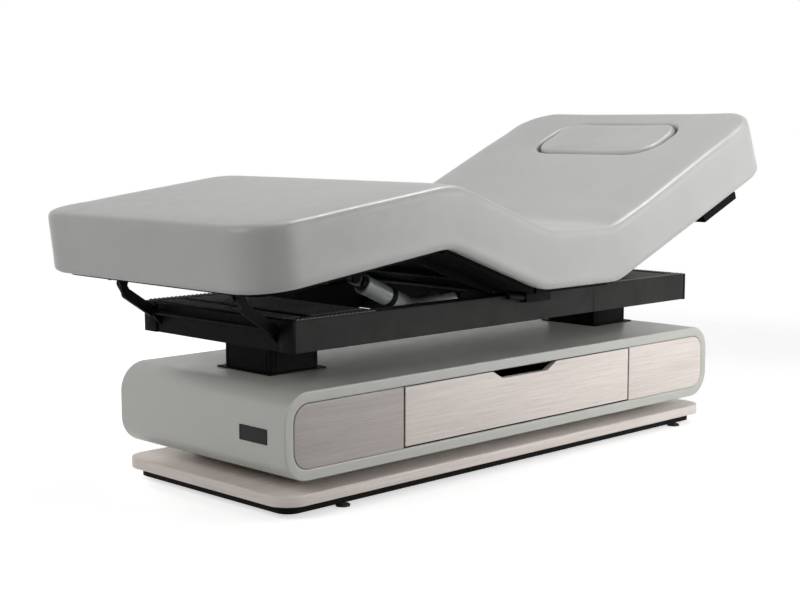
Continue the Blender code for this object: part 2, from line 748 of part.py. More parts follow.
def section_rail(y, start, end, both_eyes, from_start=True, reach=0.0):
    """Flat bar on edge with a round eye for the hinge shaft at one or both ends; reach runs past the first."""
    r = RAIL_HEIGHT / 2
    hole = SHAFT_RADIUS + GAP
    p, q = (start, 0), (end, 0)
    if both_eyes:
        loops = [capsule((start - reach, 0), q, r), circle(*p, hole), circle(*q, hole)]
    elif from_start:
        loops = [arc(*p, r, 90, 270, 8) + [(end, -r), (end, r)], circle(*p, hole)]
    else:
        loops = [[(start, r), (start, -r)] + arc(*q, r, -90, 90, 8), circle(*q, hole)]
    return side_plate("rail", loops, y, RAIL_WIDTH)


def section_frame(name, parent, rail_y, start, end, bars, both_eyes=False, from_start=True, reach=0.0):
    """Two rails and the bars welded between them."""
    y = rail_y + RAIL_WIDTH / 2
    rails = [section_rail(side * y, start, end, both_eyes, from_start, reach) for side in (-1, 1)]
    frame = add_object(name, join_meshes(name, rails), BLACK_STEEL, parent)
    for x in bars:
        low = (x - BAR_WIDTH / 2, -y, -BAR_HEIGHT / 2)
        high = (x + BAR_WIDTH / 2, y, BAR_HEIGHT / 2)
        boolean(frame, add_cutter(name + "_bar", box_mesh("bar", low, high), parent), 'UNION')
    return frame


def hinge_shaft(name, parent, x):
    length = 2 * (OUTER_RAIL_Y + RAIL_WIDTH)
    obj = add_object(name, rod_mesh(name, SHAFT_RADIUS, length), BRIGHT_STEEL, parent)
    obj.location = (x, 0, 0)


def deck(name, parent, x0, x1, radii, hole=None):
    half = DECK_WIDTH / 2
    loops = [rounded_rect(x0, -half, x1, half, radii)]
    if hole:
        loops.append(hole)
    mesh = flat_plate(name, loops, DECK_BOTTOM, DECK_BOTTOM + DECK_THICK)
    return add_object(name, mesh, BOARD_BLACK, parent)


def pad_mesh(name, bottom, top, thick, corner, corner_end):
    """A cushion block: bottom and top give its X span there, thick its height at both ends.

    The plan corners of one end are rounded, then the upper and lower edges all round.
    """
    half = TABLE_WIDTH / 2
    mesh = box_mesh(name, (0, -half, 0), (1, half, 1))
    bm = bmesh.new()
    bm.from_mesh(mesh)
    for vert in bm.verts:
        end = 1 if vert.co.x > 0.5 else 0
        upper = vert.co.z > 0.5
        vert.co.x = (top if upper else bottom)[end]
        vert.co.z = PAD_BOTTOM + (thick[end] if upper else 0)
    if corner:
        uprights = []
        for edge in bm.edges:
            a, b = edge.verts
            if abs(a.co.y - b.co.y) < 1e-6 and abs(a.co.z - b.co.z) > 0.5 * min(thick):
                if (a.co.x + b.co.x > bottom[0] + bottom[1]) == (corner_end == 1):
                    uprights.append(edge)
        bmesh.ops.bevel(bm, geom=uprights, offset=corner, segments=6, affect='EDGES', profile=0.5)
    for upper, width, steps in ((True, PAD_EDGE_TOP, 3), (False, PAD_EDGE_BOTTOM, 2)):
        rim = []
        for face in bm.faces:
            if abs(face.normal.z) > 0.9 and (face.normal.z > 0) == upper:
                rim += list(face.edges)
        bmesh.ops.bevel(bm, geom=rim, offset=width, segments=steps, affect='EDGES', profile=0.5)
    bm.to_mesh(mesh)
    bm.free()
    smooth(mesh)
    return mesh


def notch(height, angle):
    """How far a cushion's end face stands back from the hinge axis at a height above it."""
    return GAP + height * math.tan(math.radians(angle))


def pads(seat, thigh, leg, back):
    low = PAD_BOTTOM
    high = PAD_BOTTOM + PAD_THICK
    span = BACK_PIVOT_X - THIGH_PIVOT_X
    thigh_low, thigh_high = notch(low, THIGH_NOTCH_ANGLE), notch(high, THIGH_NOTCH_ANGLE)
    back_low = notch(low, BACK_NOTCH_ANGLE)
    mesh = pad_mesh("seat_pad", (thigh_low, span - back_low),
                    (thigh_high, span - notch(high, BACK_NOTCH_ANGLE)), (PAD_THICK, PAD_THICK), 0, 0)
    add_object("seat_pad", mesh, UPHOLSTERY, seat)
    knee = -THIGH_LENGTH + KNEE_GAP
    mesh = pad_mesh("thigh_pad", (knee, -thigh_low), (knee, -thigh_high), (PAD_THICK, PAD_THICK), 0, 0)
    add_object("thigh_pad", mesh, UPHOLSTERY, thigh)
    mesh = pad_mesh("leg_pad", (-LEG_LENGTH, -KNEE_GAP), (-LEG_LENGTH, -KNEE_GAP),
                    (PAD_THICK, PAD_THICK), FOOT_CORNER, 0)
    add_object("leg_pad", mesh, UPHOLSTERY, leg)
    start = notch(low + BACK_PAD_THICK_PIVOT, BACK_NOTCH_ANGLE)
    mesh = pad_mesh("back_pad", (back_low, BACK_LENGTH), (start, BACK_LENGTH),
                    (BACK_PAD_THICK_PIVOT, BACK_PAD_THICK_END), HEAD_CORNER, 1)
    pad = add_object("back_pad", mesh, UPHOLSTERY, back)
    hole = flat_plate("hole", [face_outline(0)], 0, 2 * low + BACK_PAD_THICK_END)
    boolean(pad, add_cutter("face_opening", hole, back))


def face_outline(inset):
    """Plan of the face opening on the back section, drawn in by inset."""
    half_x = FACE_SIZE[0] / 2 - inset
    half_y = FACE_SIZE[1] / 2 - inset
    radius = FACE_RADIUS - inset
    c = FACE_CENTRE
    return rounded_rect(c - half_x, -half_y, c + half_x, half_y, [radius] * 4, 5)


def face_insert(back):
    """Removable cushion in the face opening; its top lies level with the pad round it."""
    slope = (BACK_PAD_THICK_END - BACK_PAD_THICK_PIVOT) / BACK_LENGTH
    top = PAD_BOTTOM + BACK_PAD_THICK_PIVOT + slope * FACE_CENTRE
    mesh = flat_plate("face_insert", [face_outline(FACE_GAP)], PAD_BOTTOM, top)
    bm = bmesh.new()
    bm.from_mesh(mesh)
    for vert in bm.verts:
        if vert.co.z > PAD_BOTTOM + 0.01:
            vert.co.z += slope * (vert.co.x - FACE_CENTRE)
    bm.to_mesh(mesh)
    bm.free()
    insert = add_object("face_insert", mesh, UPHOLSTERY, back)
    add_bevel(insert, 0.008, 2, 60)


def thigh_section(thigh):
    clear = RAIL_HEIGHT / 2 + GAP
    frame = section_frame("thigh_frame", thigh, OUTER_RAIL_Y, -THIGH_LENGTH, 0, THIGH_BARS, True)
    x, z = LEG_ACTUATOR_TOP
    for side in (-1, 1):
        y = LEG_ACTUATOR_Y + side * (EYE_WIDTH / 2 + CLEVIS_GAP + CLEVIS_PLATE / 2)
        plate = side_plate("hanger", [capsule((x, RAIL_HEIGHT / 2 - HANGER_RADIUS), (x, z), HANGER_RADIUS)],
                           y, CLEVIS_PLATE)
        boolean(frame, add_cutter("leg_actuator_hanger", plate, thigh), 'UNION')
    pin = rod_mesh("pin", PIN_RADIUS, EYE_WIDTH + 2 * CLEVIS_GAP + CLEVIS_PLATE)
    pin.transform(Matrix.Translation((x, LEG_ACTUATOR_Y, z)))
    boolean(frame, add_cutter("leg_actuator_pin", pin, thigh), 'UNION')
    hinge_shaft("knee_hinge_shaft", thigh, -THIGH_LENGTH)
    deck("thigh_deck", thigh, -THIGH_LENGTH + clear, -clear, [0] * 4)


def leg_section(leg):
    clear = RAIL_HEIGHT / 2 + GAP
    end = -LEG_LENGTH + 2 * DECK_INSET
    x, z = ARM_TOP
    bars = (x + GUSSET_BAR, -LEG_BARS[0], -LEG_BARS[1])
    frame = section_frame("leg_frame", leg, INNER_RAIL_Y, end, 0, bars, False, False)
    half = GUSSET_TOP / 2
    outline = [(x - half, RAIL_HEIGHT / 2)] + arc(x, z, EAR_RADIUS, 195, 345, 8) + [(x + half, RAIL_HEIGHT / 2)]
    for side in (-1, 1):
        y = side * (ARM_Y - ARM_THICK / 2 - ARM_END_CLEAR - EAR_THICK / 2)
        boolean(frame, add_cutter("arm_gusset", side_plate("gusset", [outline], y, EAR_THICK), leg), 'UNION')
    radius = FOOT_CORNER - DECK_INSET
    deck("leg_deck", leg, -LEG_LENGTH + DECK_INSET, -clear, [radius, 0, 0, radius])


def seat_section(seat):
    clear = RAIL_HEIGHT / 2 + GAP
    span = BACK_PIVOT_X - THIGH_PIVOT_X
    section_frame("seat_frame", seat, INNER_RAIL_Y, 0, span, (0.035, 0.150), True, reach=SEAT_RAIL_REACH)
    hinge_shaft("thigh_hinge_shaft", seat, 0)
    hinge_shaft("back_hinge_shaft", seat, span)
    deck("seat_deck", seat, clear, span - notch(PAD_BOTTOM, BACK_NOTCH_ANGLE), [0] * 4)


def back_section(back):
    clear = RAIL_HEIGHT / 2 + GAP
    end = BACK_LENGTH - 2 * DECK_INSET
    opening = FACE_CENTRE - FACE_SIZE[0] / 2
    bars = (0.035, 0.250, opening - 0.03, end - 0.0126)
    frame = section_frame("back_frame", back, OUTER_RAIL_Y, 0, end, bars)
    for side in (-1, 1):
        y = BACK_ACTUATOR_Y + side * (EYE_WIDTH / 2 + OPEN_PIVOT_CLEAR + CLEVIS_PLATE / 2)
        root = (0.035, RAIL_HEIGHT / 2 - EYE_RADIUS)
        plate = side_plate("crank", [capsule(root, BACK_CRANK_PIN, EYE_RADIUS)], y, CLEVIS_PLATE)
        boolean(frame, add_cutter("back_crank", plate, back), 'UNION')
    radius = HEAD_CORNER - DECK_INSET
    deck("back_deck", back, notch(PAD_BOTTOM, BACK_NOTCH_ANGLE), BACK_LENGTH - DECK_INSET, [0, radius, radius, 0],
         face_outline(FACE_LIP))
    head_brackets(back)


def head_brackets(back):
    """Moulded strips along the deck's edges; outside the deck they reach up to the cushion."""
    deck_edge = DECK_WIDTH / 2
    inner = deck_edge - HEAD_BRACKET_INSET[0]
    outer = TABLE_WIDTH / 2 - HEAD_BRACKET_INSET[1]
    under = DECK_BOTTOM - GAP
    low = under - HEAD_BRACKET_DROP
    high = PAD_BOTTOM - GAP
    x0, x1 = HEAD_BRACKET_X
    for name, side in (("head_bracket_near", -1), ("head_bracket_far", 1)):
        outline = [(side * y, z) for y, z in ((inner, low), (outer, low), (outer, high), (deck_edge + GAP, high),
                                              (deck_edge + GAP, under), (inner, under))]
        mesh = stand_along_x(outline_mesh(name, [outline], x1 - x0), (x0 + x1) / 2)
        bevel_outer_edges(mesh, HEAD_BRACKET_EDGE)
        add_object(name, mesh, BOARD_BLACK, back)


def arm_line():
    """Tilt and length of the line from the arms' pivot to their upper ends under the leg section."""
    knee = turn((-THIGH_LENGTH, 0), THIGH_ANGLE)
    top = turn(ARM_TOP, THIGH_ANGLE - KNEE_ANGLE)
    px, pz = arm_pivot()
    back = px - (THIGH_PIVOT_X + knee[0] + top[0])
    up = PIVOT_Z + knee[1] + top[1] - pz
    return math.degrees(math.atan2(up, back)), math.hypot(up, back)


def support_arms(arms):
    """Two bent flat arms welded to the shaft they turn on."""
    length = arm_line()[1]
    elbow = (ARM_ELBOW[0] - length, ARM_ELBOW[1])
    shaft = rod_mesh("support_arms", ARM_SHAFT_RADIUS, 2 * ARM_Y + ARM_THICK)
    obj = add_object("support_arms", shaft, BLACK_STEEL, arms)
    for side in (-1, 1):
        for part, outline, thick in (("lower", capsule((0, 0), elbow, ARM_WIDTH / 2), ARM_THICK),
                                     ("upper", capsule(elbow, (-length, 0), ARM_TIP_RADIUS), ARM_THICK - 2 * GAP)):
            plate = side_plate(part, [outline], side * ARM_Y, thick)
            boolean(obj, add_cutter("arm_" + part, plate, arms), 'UNION')


def round_bar(name, radius, start, end, y, sides, parent, rim=0.0):
    """A cutter: cylinder along X between two distances from the parent's axis."""
    mesh = rod_mesh(name, radius, end - start, sides)
    mesh.transform(Matrix.Translation(((start + end) / 2, y, 0)) @ Matrix.Rotation(-math.pi / 2, 4, 'Z'))
    cutter = add_cutter(name, mesh, parent)
    if rim:
        add_bevel(cutter, rim, 1)
    return cutter


def actuator(name, parent, y, length, motor, tube_end, rod_start):
    """Linear actuator along +X from its rear eye: eye, motor housing and bored tube, with the rod in the bore."""
    hole = circle(0, 0, PIN_RADIUS + GAP)
    eye = side_plate("eye", [capsule((0, 0), (EYE_REACH, 0), EYE_RADIUS), hole], y, EYE_WIDTH)
    body = add_object(name + "_body", eye, MOTOR_GREY, parent)
    boolean(body, round_bar(name + "_motor", MOTOR_RADIUS, *motor, y, 24, parent, MOTOR_RIM), 'UNION')
    boolean(body, round_bar(name + "_tube", TUBE_RADIUS, TUBE_START, tube_end, y, 20, parent), 'UNION')
    bore = round_bar(name + "_bore", ROD_RADIUS + 2 * GAP, BORE_START, tube_end + EYE_REACH, y, 16, parent)
    boolean(body, bore)
    rod = round_bar(name + "_rod_blank", ROD_RADIUS, rod_start, length, y, 16, parent)
    rod_obj = add_object(name + "_rod", rod.data, BRIGHT_STEEL, parent)
    bpy.data.objects.remove(rod)
    end = side_plate("rod_eye", [circle(length, 0, EYE_RADIUS, 20)], y, EYE_WIDTH)
    boolean(rod_obj, add_cutter(name + "_rod_eye", end, parent), 'UNION')
    hole = rod_mesh("rod_hole", PIN_RADIUS + GAP, 2 * EYE_WIDTH)
    hole.transform(Matrix.Translation((length, y, 0)))
    boolean(rod_obj, add_cutter(name + "_rod_hole", hole, parent))


def actuators(lift, thigh):
    top_x, top_z = turn(LEG_ACTUATOR_TOP, THIGH_ANGLE)
    dx = LEG_ACTUATOR_FOOT[0] - (THIGH_PIVOT_X + top_x)
    dz = LEG_ACTUATOR_FOOT[1] - (PIVOT_Z + top_z)
    slope = math.degrees(math.atan2(-dz, dx))
    leg_pivot = pivot("leg_actuator_pivot", *LEG_ACTUATOR_TOP, slope - THIGH_ANGLE, thigh)
    actuator("leg_actuator", leg_pivot, LEG_ACTUATOR_Y, math.hypot(dx, dz), LEG_MOTOR, LEG_TUBE_END, LEG_ROD_START)
    pin_x, pin_z = turn(BACK_CRANK_PIN, -BACK_ANGLE)
    dx = BACK_PIVOT_X + pin_x - BACK_ACTUATOR_FOOT[0]
    dz = PIVOT_Z + pin_z - BACK_ACTUATOR_FOOT[1]
    slope = math.degrees(math.atan2(-dz, dx))
    back_pivot = pivot("back_actuator_pivot", *BACK_ACTUATOR_FOOT, slope, lift)
    actuator("back_actuator", back_pivot, BACK_ACTUATOR_Y, math.hypot(dx, dz), BACK_MOTOR, BACK_TUBE_END,
             BACK_ROD_START)


def build():
    lift = pivot("lift", 0, 0, 0)
    drawer = pivot("drawer", 0, 0, 0)
    seat = pivot("seat", THIGH_PIVOT_X, PIVOT_Z, 0, lift)
    thigh = pivot("thigh_pivot", THIGH_PIVOT_X, PIVOT_Z, THIGH_ANGLE, lift)
    leg = pivot("knee_pivot", -THIGH_LENGTH, 0, -KNEE_ANGLE, thigh)
    back = pivot("back_pivot", BACK_PIVOT_X, PIVOT_Z, -BACK_ANGLE, lift)
    arms = pivot("arm_pivot", *arm_pivot(), arm_line()[0], lift)
    levelling_feet()
    base_subframe()
    plinth_board()
    cabinet_riser()
    cabinet_shell()
    cabinet_panels()
    dividers()
    drawer_front(drawer)
    drawer_box(drawer)
    drawer_runners(drawer)
    columns(lift)
    frame_beams(lift)
    frame_crosses(lift)
    column_plates(lift)
    cover_plates(lift)
    actuator_cross_bar(lift)
    control_box(lift)
    seat_section(seat)
    thigh_section(thigh)
    leg_section(leg)
    back_section(back)
    pads(seat, thigh, leg, back)
    face_insert(back)
    support_arms(arms)
    actuators(lift, thigh)


build()
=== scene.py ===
"""Looks of a spa treatment table: upholstery, lacquered cabinet, washed veneer and black steelwork.

Metres, +Z up, +X to the head end, -Y to the drawer side.
"""
import json
import math

import bmesh
import bpy
import numpy as np
from bpy.props import FloatProperty, FloatVectorProperty, PointerProperty
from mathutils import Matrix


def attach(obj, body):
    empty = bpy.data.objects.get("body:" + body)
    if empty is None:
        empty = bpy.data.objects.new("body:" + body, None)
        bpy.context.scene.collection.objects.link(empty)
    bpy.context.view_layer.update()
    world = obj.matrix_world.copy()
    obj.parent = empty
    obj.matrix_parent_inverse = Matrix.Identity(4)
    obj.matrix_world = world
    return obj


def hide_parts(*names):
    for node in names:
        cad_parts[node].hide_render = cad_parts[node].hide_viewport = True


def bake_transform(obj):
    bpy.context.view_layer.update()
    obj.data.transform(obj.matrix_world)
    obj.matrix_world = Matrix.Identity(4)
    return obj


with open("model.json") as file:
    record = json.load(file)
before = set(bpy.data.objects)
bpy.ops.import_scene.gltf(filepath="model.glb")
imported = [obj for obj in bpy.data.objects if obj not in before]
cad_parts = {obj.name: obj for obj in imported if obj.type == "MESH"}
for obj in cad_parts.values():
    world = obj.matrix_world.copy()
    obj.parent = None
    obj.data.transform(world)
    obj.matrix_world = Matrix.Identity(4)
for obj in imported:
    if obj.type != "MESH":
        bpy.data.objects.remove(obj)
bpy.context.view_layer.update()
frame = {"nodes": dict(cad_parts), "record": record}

bl_info = {
    "name": "Spa Treatment Table",
    "version": (1, 0, 0),
    "blender": (4, 5, 0),
    "location": "View3D > Sidebar > Spa Table",
    "description": "Builds the finished surfaces of a spa treatment table on its packed frame",
    "category": "Add Mesh",
}

# The cabinet's middle stands this far to the head end of the origin
OFFSET = 0.0136

# Sections of the top: hinge points (x, z) and tilts in degrees, the +X side down being positive
THIGH_HINGE = np.array((-0.0652 + OFFSET, 0.4385))
BACK_HINGE = np.array((0.2328 + OFFSET, 0.4385))
THIGH_LENGTH = 0.3469
LEG_LENGTH = 0.5525
BACK_LENGTH = 0.765
SEAT_LENGTH = BACK_HINGE[0] - THIGH_HINGE[0]
THIGH_TILT = 20.15
LEG_TILT = -7.25
BACK_TILT = -21.97
PAD_BOTTOM = 0.0195
PAD_THICK = 0.142
BACK_THICK = (0.1343, 0.1604)
TABLE_WIDTH = 0.840
FOOT_CORNER = 0.110
HEAD_CORNER = 0.116
FACE_CENTRE = 0.575
FACE_SIZE = (0.205, 0.426)
FACE_RADIUS = 0.074
FACE_INSET = 0.004
FACE_CLEAR = 0.0025
FACE_EDGE = (0.006, 0.013)
OPENING_GAP = 0.002

# Cloth: size of its cells, rounding underneath, the drawn-in rim, and how its travel is held back
CELL = 0.0075
UNDER_EDGE = 0.010
HEM_WIDTH = 0.036
HEM_FADE = 0.012
HEM_HEIGHT = 0.05
HEM_DROP = 0.002
PRESSURE = 4.0
FRAMES = 20
SIDE_TRAVEL = 0.4
TRAVEL_ROUNDS = 16
HELD_HEIGHT = 0.04
FACE_SWELL = 0.0025

# Places along the flat cushion, from its foot end
KNEE_AT = LEG_LENGTH
THIGH_AT = KNEE_AT + THIGH_LENGTH
BACK_AT = THIGH_AT + SEAT_LENGTH
CUSHION_LENGTH = BACK_AT + BACK_LENGTH
CUT_THIGH = THIGH_AT - 0.170
CUT_SEAT = THIGH_AT + SEAT_LENGTH / 2

# Half widths of the moving mean that rounds the bends, underneath and on top
BEND_UNDER = 0.050
BEND_OVER = 0.066
# Spacing of the bent lines' points, and how far the lines run past the cushion's ends
BEND_STEP = 0.0005
BEND_MARGIN = 0.04

# Cabinet
CABINET_HALF = 0.788
CABINET_DEPTH = 0.608
CABINET_Z = (0.085, 0.2815)
CABINET_RADIUS = 0.067
CABINET_WALL = 0.026
FRONT_Y = -CABINET_DEPTH / 2
BOARD = 0.018
PLINTH_Z = (0.031, 0.056)
PLINTH_CORNER = 0.060
BANDING = 0.0008
DRAWER_CENTRE = -0.004 + OFFSET
DRAWER_HALF = 0.4275
DRAWER_GAP = 0.0055
DRAWER_GAP_LOW = 0.004
DRAWER_GAP_HIGH = 0.002
CUTOUT_HALF = (0.120, 0.085)
CUTOUT_DEPTH = 0.020
# Black strip of painted shadow in the gap round the drawer: its depths behind the front, and the room
# left round it
PAINTED_SHADOW_DEPTH = (0.003, BOARD - 0.001)
PAINTED_SHADOW_ROOM = 0.0003
PANEL_GAP = 0.001
PANEL_EDGE = 0.0012
PANEL_LOW = CABINET_Z[0] + CABINET_WALL
PANEL_HIGH = CABINET_Z[1] - CABINET_WALL

# Name plate on the foot end: its sides, and its rim as (inset, depth) steps
PLATE_Y = (-0.2455, -0.152)
PLATE_Z = (0.165, 0.199)
PLATE_RIM = ((0.0, 0.0), (0.0, 0.0016), (0.0005, 0.0021),
             (0.0016, 0.0021), (0.0021, 0.0014), (0.008, 0.0014))

# The shell is cut right through where the columns stand
COLUMN_X = (-0.569 + OFFSET, 0.622 + OFFSET)
COLUMN_HALF = (0.074, 0.0855)
COLUMN_CORNER = 0.006
COLUMN_CUT = (0.05, 0.32)

# Frame on the columns
BEAM_Y = (0.2273, 0.2723)
BEAM_Z = (0.3593, 0.4313)
BEAM_X = (-0.7355 + OFFSET, 0.7218 + OFFSET)
BEAM_SEAM = 0.3065 + OFFSET
CAP_LENGTH = 0.009
CAP_OVER = 0.0006
CAP_RISE = 0.0002

# Embossed sheets lie between the cross bars and the side rails of the frames that come down on them:
# spans along X and the rail's inner and outer side
SHEETS = (("foot", ((-0.7119, -0.6625), (-0.6345, -0.4725)), (0.230, 0.240)),
          ("head", ((0.3146, 0.4825), (0.5105, 0.6745), (0.7025, 0.7254)), (0.240, 0.250)))
SHEET_CLEAR = 0.0015
SHEET_THICK = 0.0007
TOOTH_HEIGHT = 0.0026
TOOTH_PITCH = 0.0125
TOOTH_STEP = 0.0025

# Cable block on the near beam and the conduit that leaves it towards the foot end
CABLE_X = (0.004 + OFFSET, 0.101 + OFFSET)
CABLE_Z = (0.4105, 0.4365)
CABLE_DEPTH = 0.024
CONDUIT_Z = 0.4240
CONDUIT_LENGTH = 0.060
CONDUIT_RADIUS = 0.0078
CONDUIT_RIB = (0.0012, 0.006)
CONDUIT_TILT = 0.13

# Leg actuator: its top pin, the direction of its axis and where the motor begins
LEG_MOTOR_PIN = np.array((-0.400 + OFFSET, -0.1, 0.486))
LEG_MOTOR_AXIS = np.array((math.cos(math.radians(24.07)), 0, -math.sin(math.radians(24.07))))
FORK_LENGTH = 0.034
MOTOR_RADIUS = 0.0235
# Rings round the motor: name, place along it, width, height over it and finish
MOTOR_RINGS = (("motor_strap", 0.122, 0.016, 0.0022, "black_housing"),
               ("motor_rim", FORK_LENGTH, 0.004, 0.0012, "motor_housing"))

# Stage
FLOOR_RADIUS = 3.4
FLOOR_FADE = (1.6, 3.2)
FLOOR_COLOUR = (0.8, 0.8, 0.8)
FLOOR_GLOW = 0.60
CAMERA_PLACE = (-2.7991 + OFFSET, -2.6782, 0.851)
CAMERA_TURN = (math.radians(83.26), 0, math.radians(-44.767))
CAMERA_LENS = 67.04
# Lamps: name, size, place and the point each one faces
LAMPS = (("head", (1.2, 0.9), (1.5, -2.0, 0.9), (0.4, 0, 0.4)),
         ("near", (1.2, 1.0), (0.9, -1.4, 1.9), (0.3, 0, 0.5)),
         ("low", (2.0, 1.2), (1.35, -3.72, 0.91), (0, 0, 0.4)),
         ("foot", (2.0, 2.0), (-3.46, 0, 2.35), (0, 0, 0.4)),
         ("far", (2.0, 1.2), (0, 3.96, 0.91), (0, 0, 0.4)),
         ("top", (1.2, 1.2), (0.3, 0, 2.1), (0.3, 0, 0.5)),
         ("glint", (0.6, 0.6), (1.07, -0.42, 3.12), (-0.65, -0.42, 0.66)))


def srgb(red, green, blue):
    """A colour written in 0 to 255 display values, as linear light."""
    c = np.array((red, green, blue)) / 255.0
    return tuple(np.where(c <= 0.04045, c / 12.92, ((c + 0.055) / 1.055) ** 2.4))


class UpholsterySettings(bpy.types.PropertyGroup):
    colour: FloatVectorProperty(name="Colour", description="Colour of the cushion's coated fabric",
                                subtype='COLOR', size=3, min=0, max=1, default=srgb(177, 178, 175))
    roughness: FloatProperty(name="Roughness", description="How dull the fabric is", default=0.44,
                             min=0, max=1, subtype='FACTOR')
    swell: FloatProperty(name="Swell", description="How far the stuffing pushes the fabric out",
                         default=0.0035, min=0, max=0.02, unit='LENGTH')
    edge: FloatProperty(name="Edge radius", description="Rounding of the cushion's upper edges",
                        default=0.013, min=0.01, max=0.06, unit='LENGTH')


class CabinetSettings(bpy.types.PropertyGroup):
    lacquer: FloatVectorProperty(name="Lacquer", description="Colour of the wrapped shell",
                                 subtype='COLOR', size=3, min=0, max=1, default=srgb(190, 191, 185))
    veneer_light: FloatVectorProperty(name="Veneer, light", description="Lighter grain of the veneer",
                                      subtype='COLOR', size=3, min=0, max=1, default=srgb(235, 226, 220))
    veneer_dark: FloatVectorProperty(name="Veneer, dark", description="Darker grain of the veneer",
                                     subtype='COLOR', size=3, min=0, max=1, default=srgb(221, 210, 204))
    rim: FloatProperty(name="Rim radius", description="Rounding of the shell's front and back rims",
                       default=0.004, min=0.0005, max=0.01, unit='LENGTH')


class SteelSettings(bpy.types.PropertyGroup):
    coat: FloatVectorProperty(name="Powder coat", description="Colour of the coated steelwork",
                              subtype='COLOR', size=3, min=0, max=1, default=(0.004, 0.004, 0.0038))
    # The beams' colour is a lighter copy of the black powder coat: painted light for their lit near
    # faces
    beam: FloatVectorProperty(name="Beam coat", description="Colour of the frame's two long beams",
                              subtype='COLOR', size=3, min=0, max=1, default=(0.026, 0.0255, 0.0245))
    housing: FloatVectorProperty(name="Motor housing", description="Colour of the actuators' housings",
                                 subtype='COLOR', size=3, min=0, max=1, default=srgb(216, 224, 221))


class StageSettings(bpy.types.PropertyGroup):
    head: FloatProperty(name="Head light", description="Power of the light beside the head end",
                        default=20.0, min=0, unit='POWER')
    near: FloatProperty(name="Near light", description="Power of the high light on the drawer side",
                        default=9.5, min=0, unit='POWER')
    low: FloatProperty(name="Low light", description="Power of the low light on the drawer side",
                       default=31.0, min=0, unit='POWER')
    foot: FloatProperty(name="Foot light", description="Power of the light at the foot end",
                        default=56.0, min=0, unit='POWER')
    far: FloatProperty(name="Far light", description="Power of the low light behind the table",
                       default=110.0, min=0, unit='POWER')
    top: FloatProperty(name="Top light", description="Power of the light over the back section",
                       default=10.0, min=0, unit='POWER')
    glint: FloatProperty(name="Glint", default=80.0, min=0, unit='POWER',
                         description="Power of the light that only marks the cushion's edge")
    ambient: FloatProperty(name="Ambient", description="Strength of the light from all round",
                           default=0.015, min=0)


# Helpers for shapes


def rounded_outline(x0, y0, x1, y1, radii, steps=12):
    """Anticlockwise outline of a rectangle whose corners are quarter circles of the given radii.

    Corners run lower left, lower right, upper right, upper left; a corner of no radius is one point.
    """
    parts = []
    corners = ((x0, y0, 180, 1, 1), (x1, y0, 270, -1, 1), (x1, y1, 0, -1, -1), (x0, y1, 90, 1, -1))
    for (x, y, start, sx, sy), radius in zip(corners, radii):
        angle = np.radians(start + np.linspace(0, 90, steps + 1 if radius > 0 else 1))
        centre = np.array((x + sx * radius, y + sy * radius))
        parts.append(centre + radius * np.stack((np.cos(angle), np.sin(angle)), 1))
    return np.concatenate(parts)


def outward(outline):
    """Mitred outward directions of an anticlockwise outline.

    Each is the sum of the two sides' normals over 1 + their dot product, so that a step of d along it
    moves both sides by d.
    """
    edge = np.roll(outline, -1, 0) - outline
    normal = np.stack((edge[:, 1], -edge[:, 0]), 1) / np.linalg.norm(edge, axis=1)[:, None]
    before = np.roll(normal, 1, 0)
    return (normal + before) / (1 + (normal * before).sum(1))[:, None]


def densify(outline, spacing):
    """Adds points along an outline's sides, no further apart than the spacing."""
    step = np.linalg.norm(np.roll(outline, -1, 0) - outline, axis=1)
    count = np.maximum(1, np.ceil(step / spacing).astype(int))
    place = np.repeat(np.cumsum(count) - count, count)
    t = (np.arange(count.sum()) - place) / np.repeat(count, count)
    start = np.repeat(outline, count, 0)
    end = np.repeat(np.roll(outline, -1, 0), count, 0)
    return start + (end - start) * t[:, None]


def upright(points, depth, axis):
    """Places outline points at a depth along an axis: XZ across Y, YZ across X, XY across Z."""
    depth = np.full(len(points), depth)
    if axis == 'Y':
        return np.stack((points[:, 0], depth, points[:, 1]), 1)
    if axis == 'X':
        return np.stack((depth, points[:, 0], points[:, 1]), 1)
    return np.stack((points[:, 0], points[:, 1], depth), 1)


def surface(name, rings, material, wrap=False, sharp=38):
    """A mesh from rings of points, each joined to the next by quads, closed by caps or onto itself."""
    rings = np.asarray(rings, float)
    rows, cols = rings.shape[:2]
    index = np.arange(rows * cols).reshape(rows, cols)
    after = np.roll(index, -1, 1)
    below, below_after = index[:-1], after[:-1]
    above, above_after = index[1:], after[1:]
    if wrap:
        below, below_after = index, after
        above, above_after = np.roll(index, -1, 0), np.roll(after, -1, 0)
    quads = np.stack((below, below_after, above_after, above), -1).reshape(-1, 4)
    faces = quads.tolist()
    if not wrap:
        faces += [index[0][::-1].tolist(), index[-1].tolist()]
    mesh = bpy.data.meshes.new(name)
    mesh.from_pydata(rings.reshape(-1, 3).tolist(), [], faces)
    return finish_mesh(name, mesh, material, sharp)


def placed(name, data):
    """A new object with that data, linked into the scene."""
    obj = bpy.data.objects.new(name, data)
    bpy.context.scene.collection.objects.link(obj)
    return obj


def finish_mesh(name, mesh, material, sharp):
    """Turns the faces outwards, shades them and puts the mesh into the scene."""
    bm = bmesh.new()
    bm.from_mesh(mesh)
    bmesh.ops.recalc_face_normals(bm, faces=bm.faces)
    bm.to_mesh(mesh)
    bm.free()
    mesh.shade_smooth()
    mesh.set_sharp_from_angle(angle=math.radians(sharp))
    if material:
        mesh.materials.append(material)
    return placed(name, mesh)


def slab_rings(outline, low, high, edge_low, edge_high, axis, steps):
    """Rings of a board: its outline drawn in and lifted along a quarter circle at both edges."""
    out = outward(outline)
    turn = np.radians(np.linspace(0, 90, steps + 1))
    inset, rise = 1 - np.sin(turn), 1 - np.cos(turn)
    insets = np.concatenate((edge_low * inset, edge_high * inset[::-1]))
    depths = np.concatenate((low + edge_low * rise, high - edge_high * rise[::-1]))
    return [upright(outline - out * inset, depth, axis) for inset, depth in zip(insets, depths)]


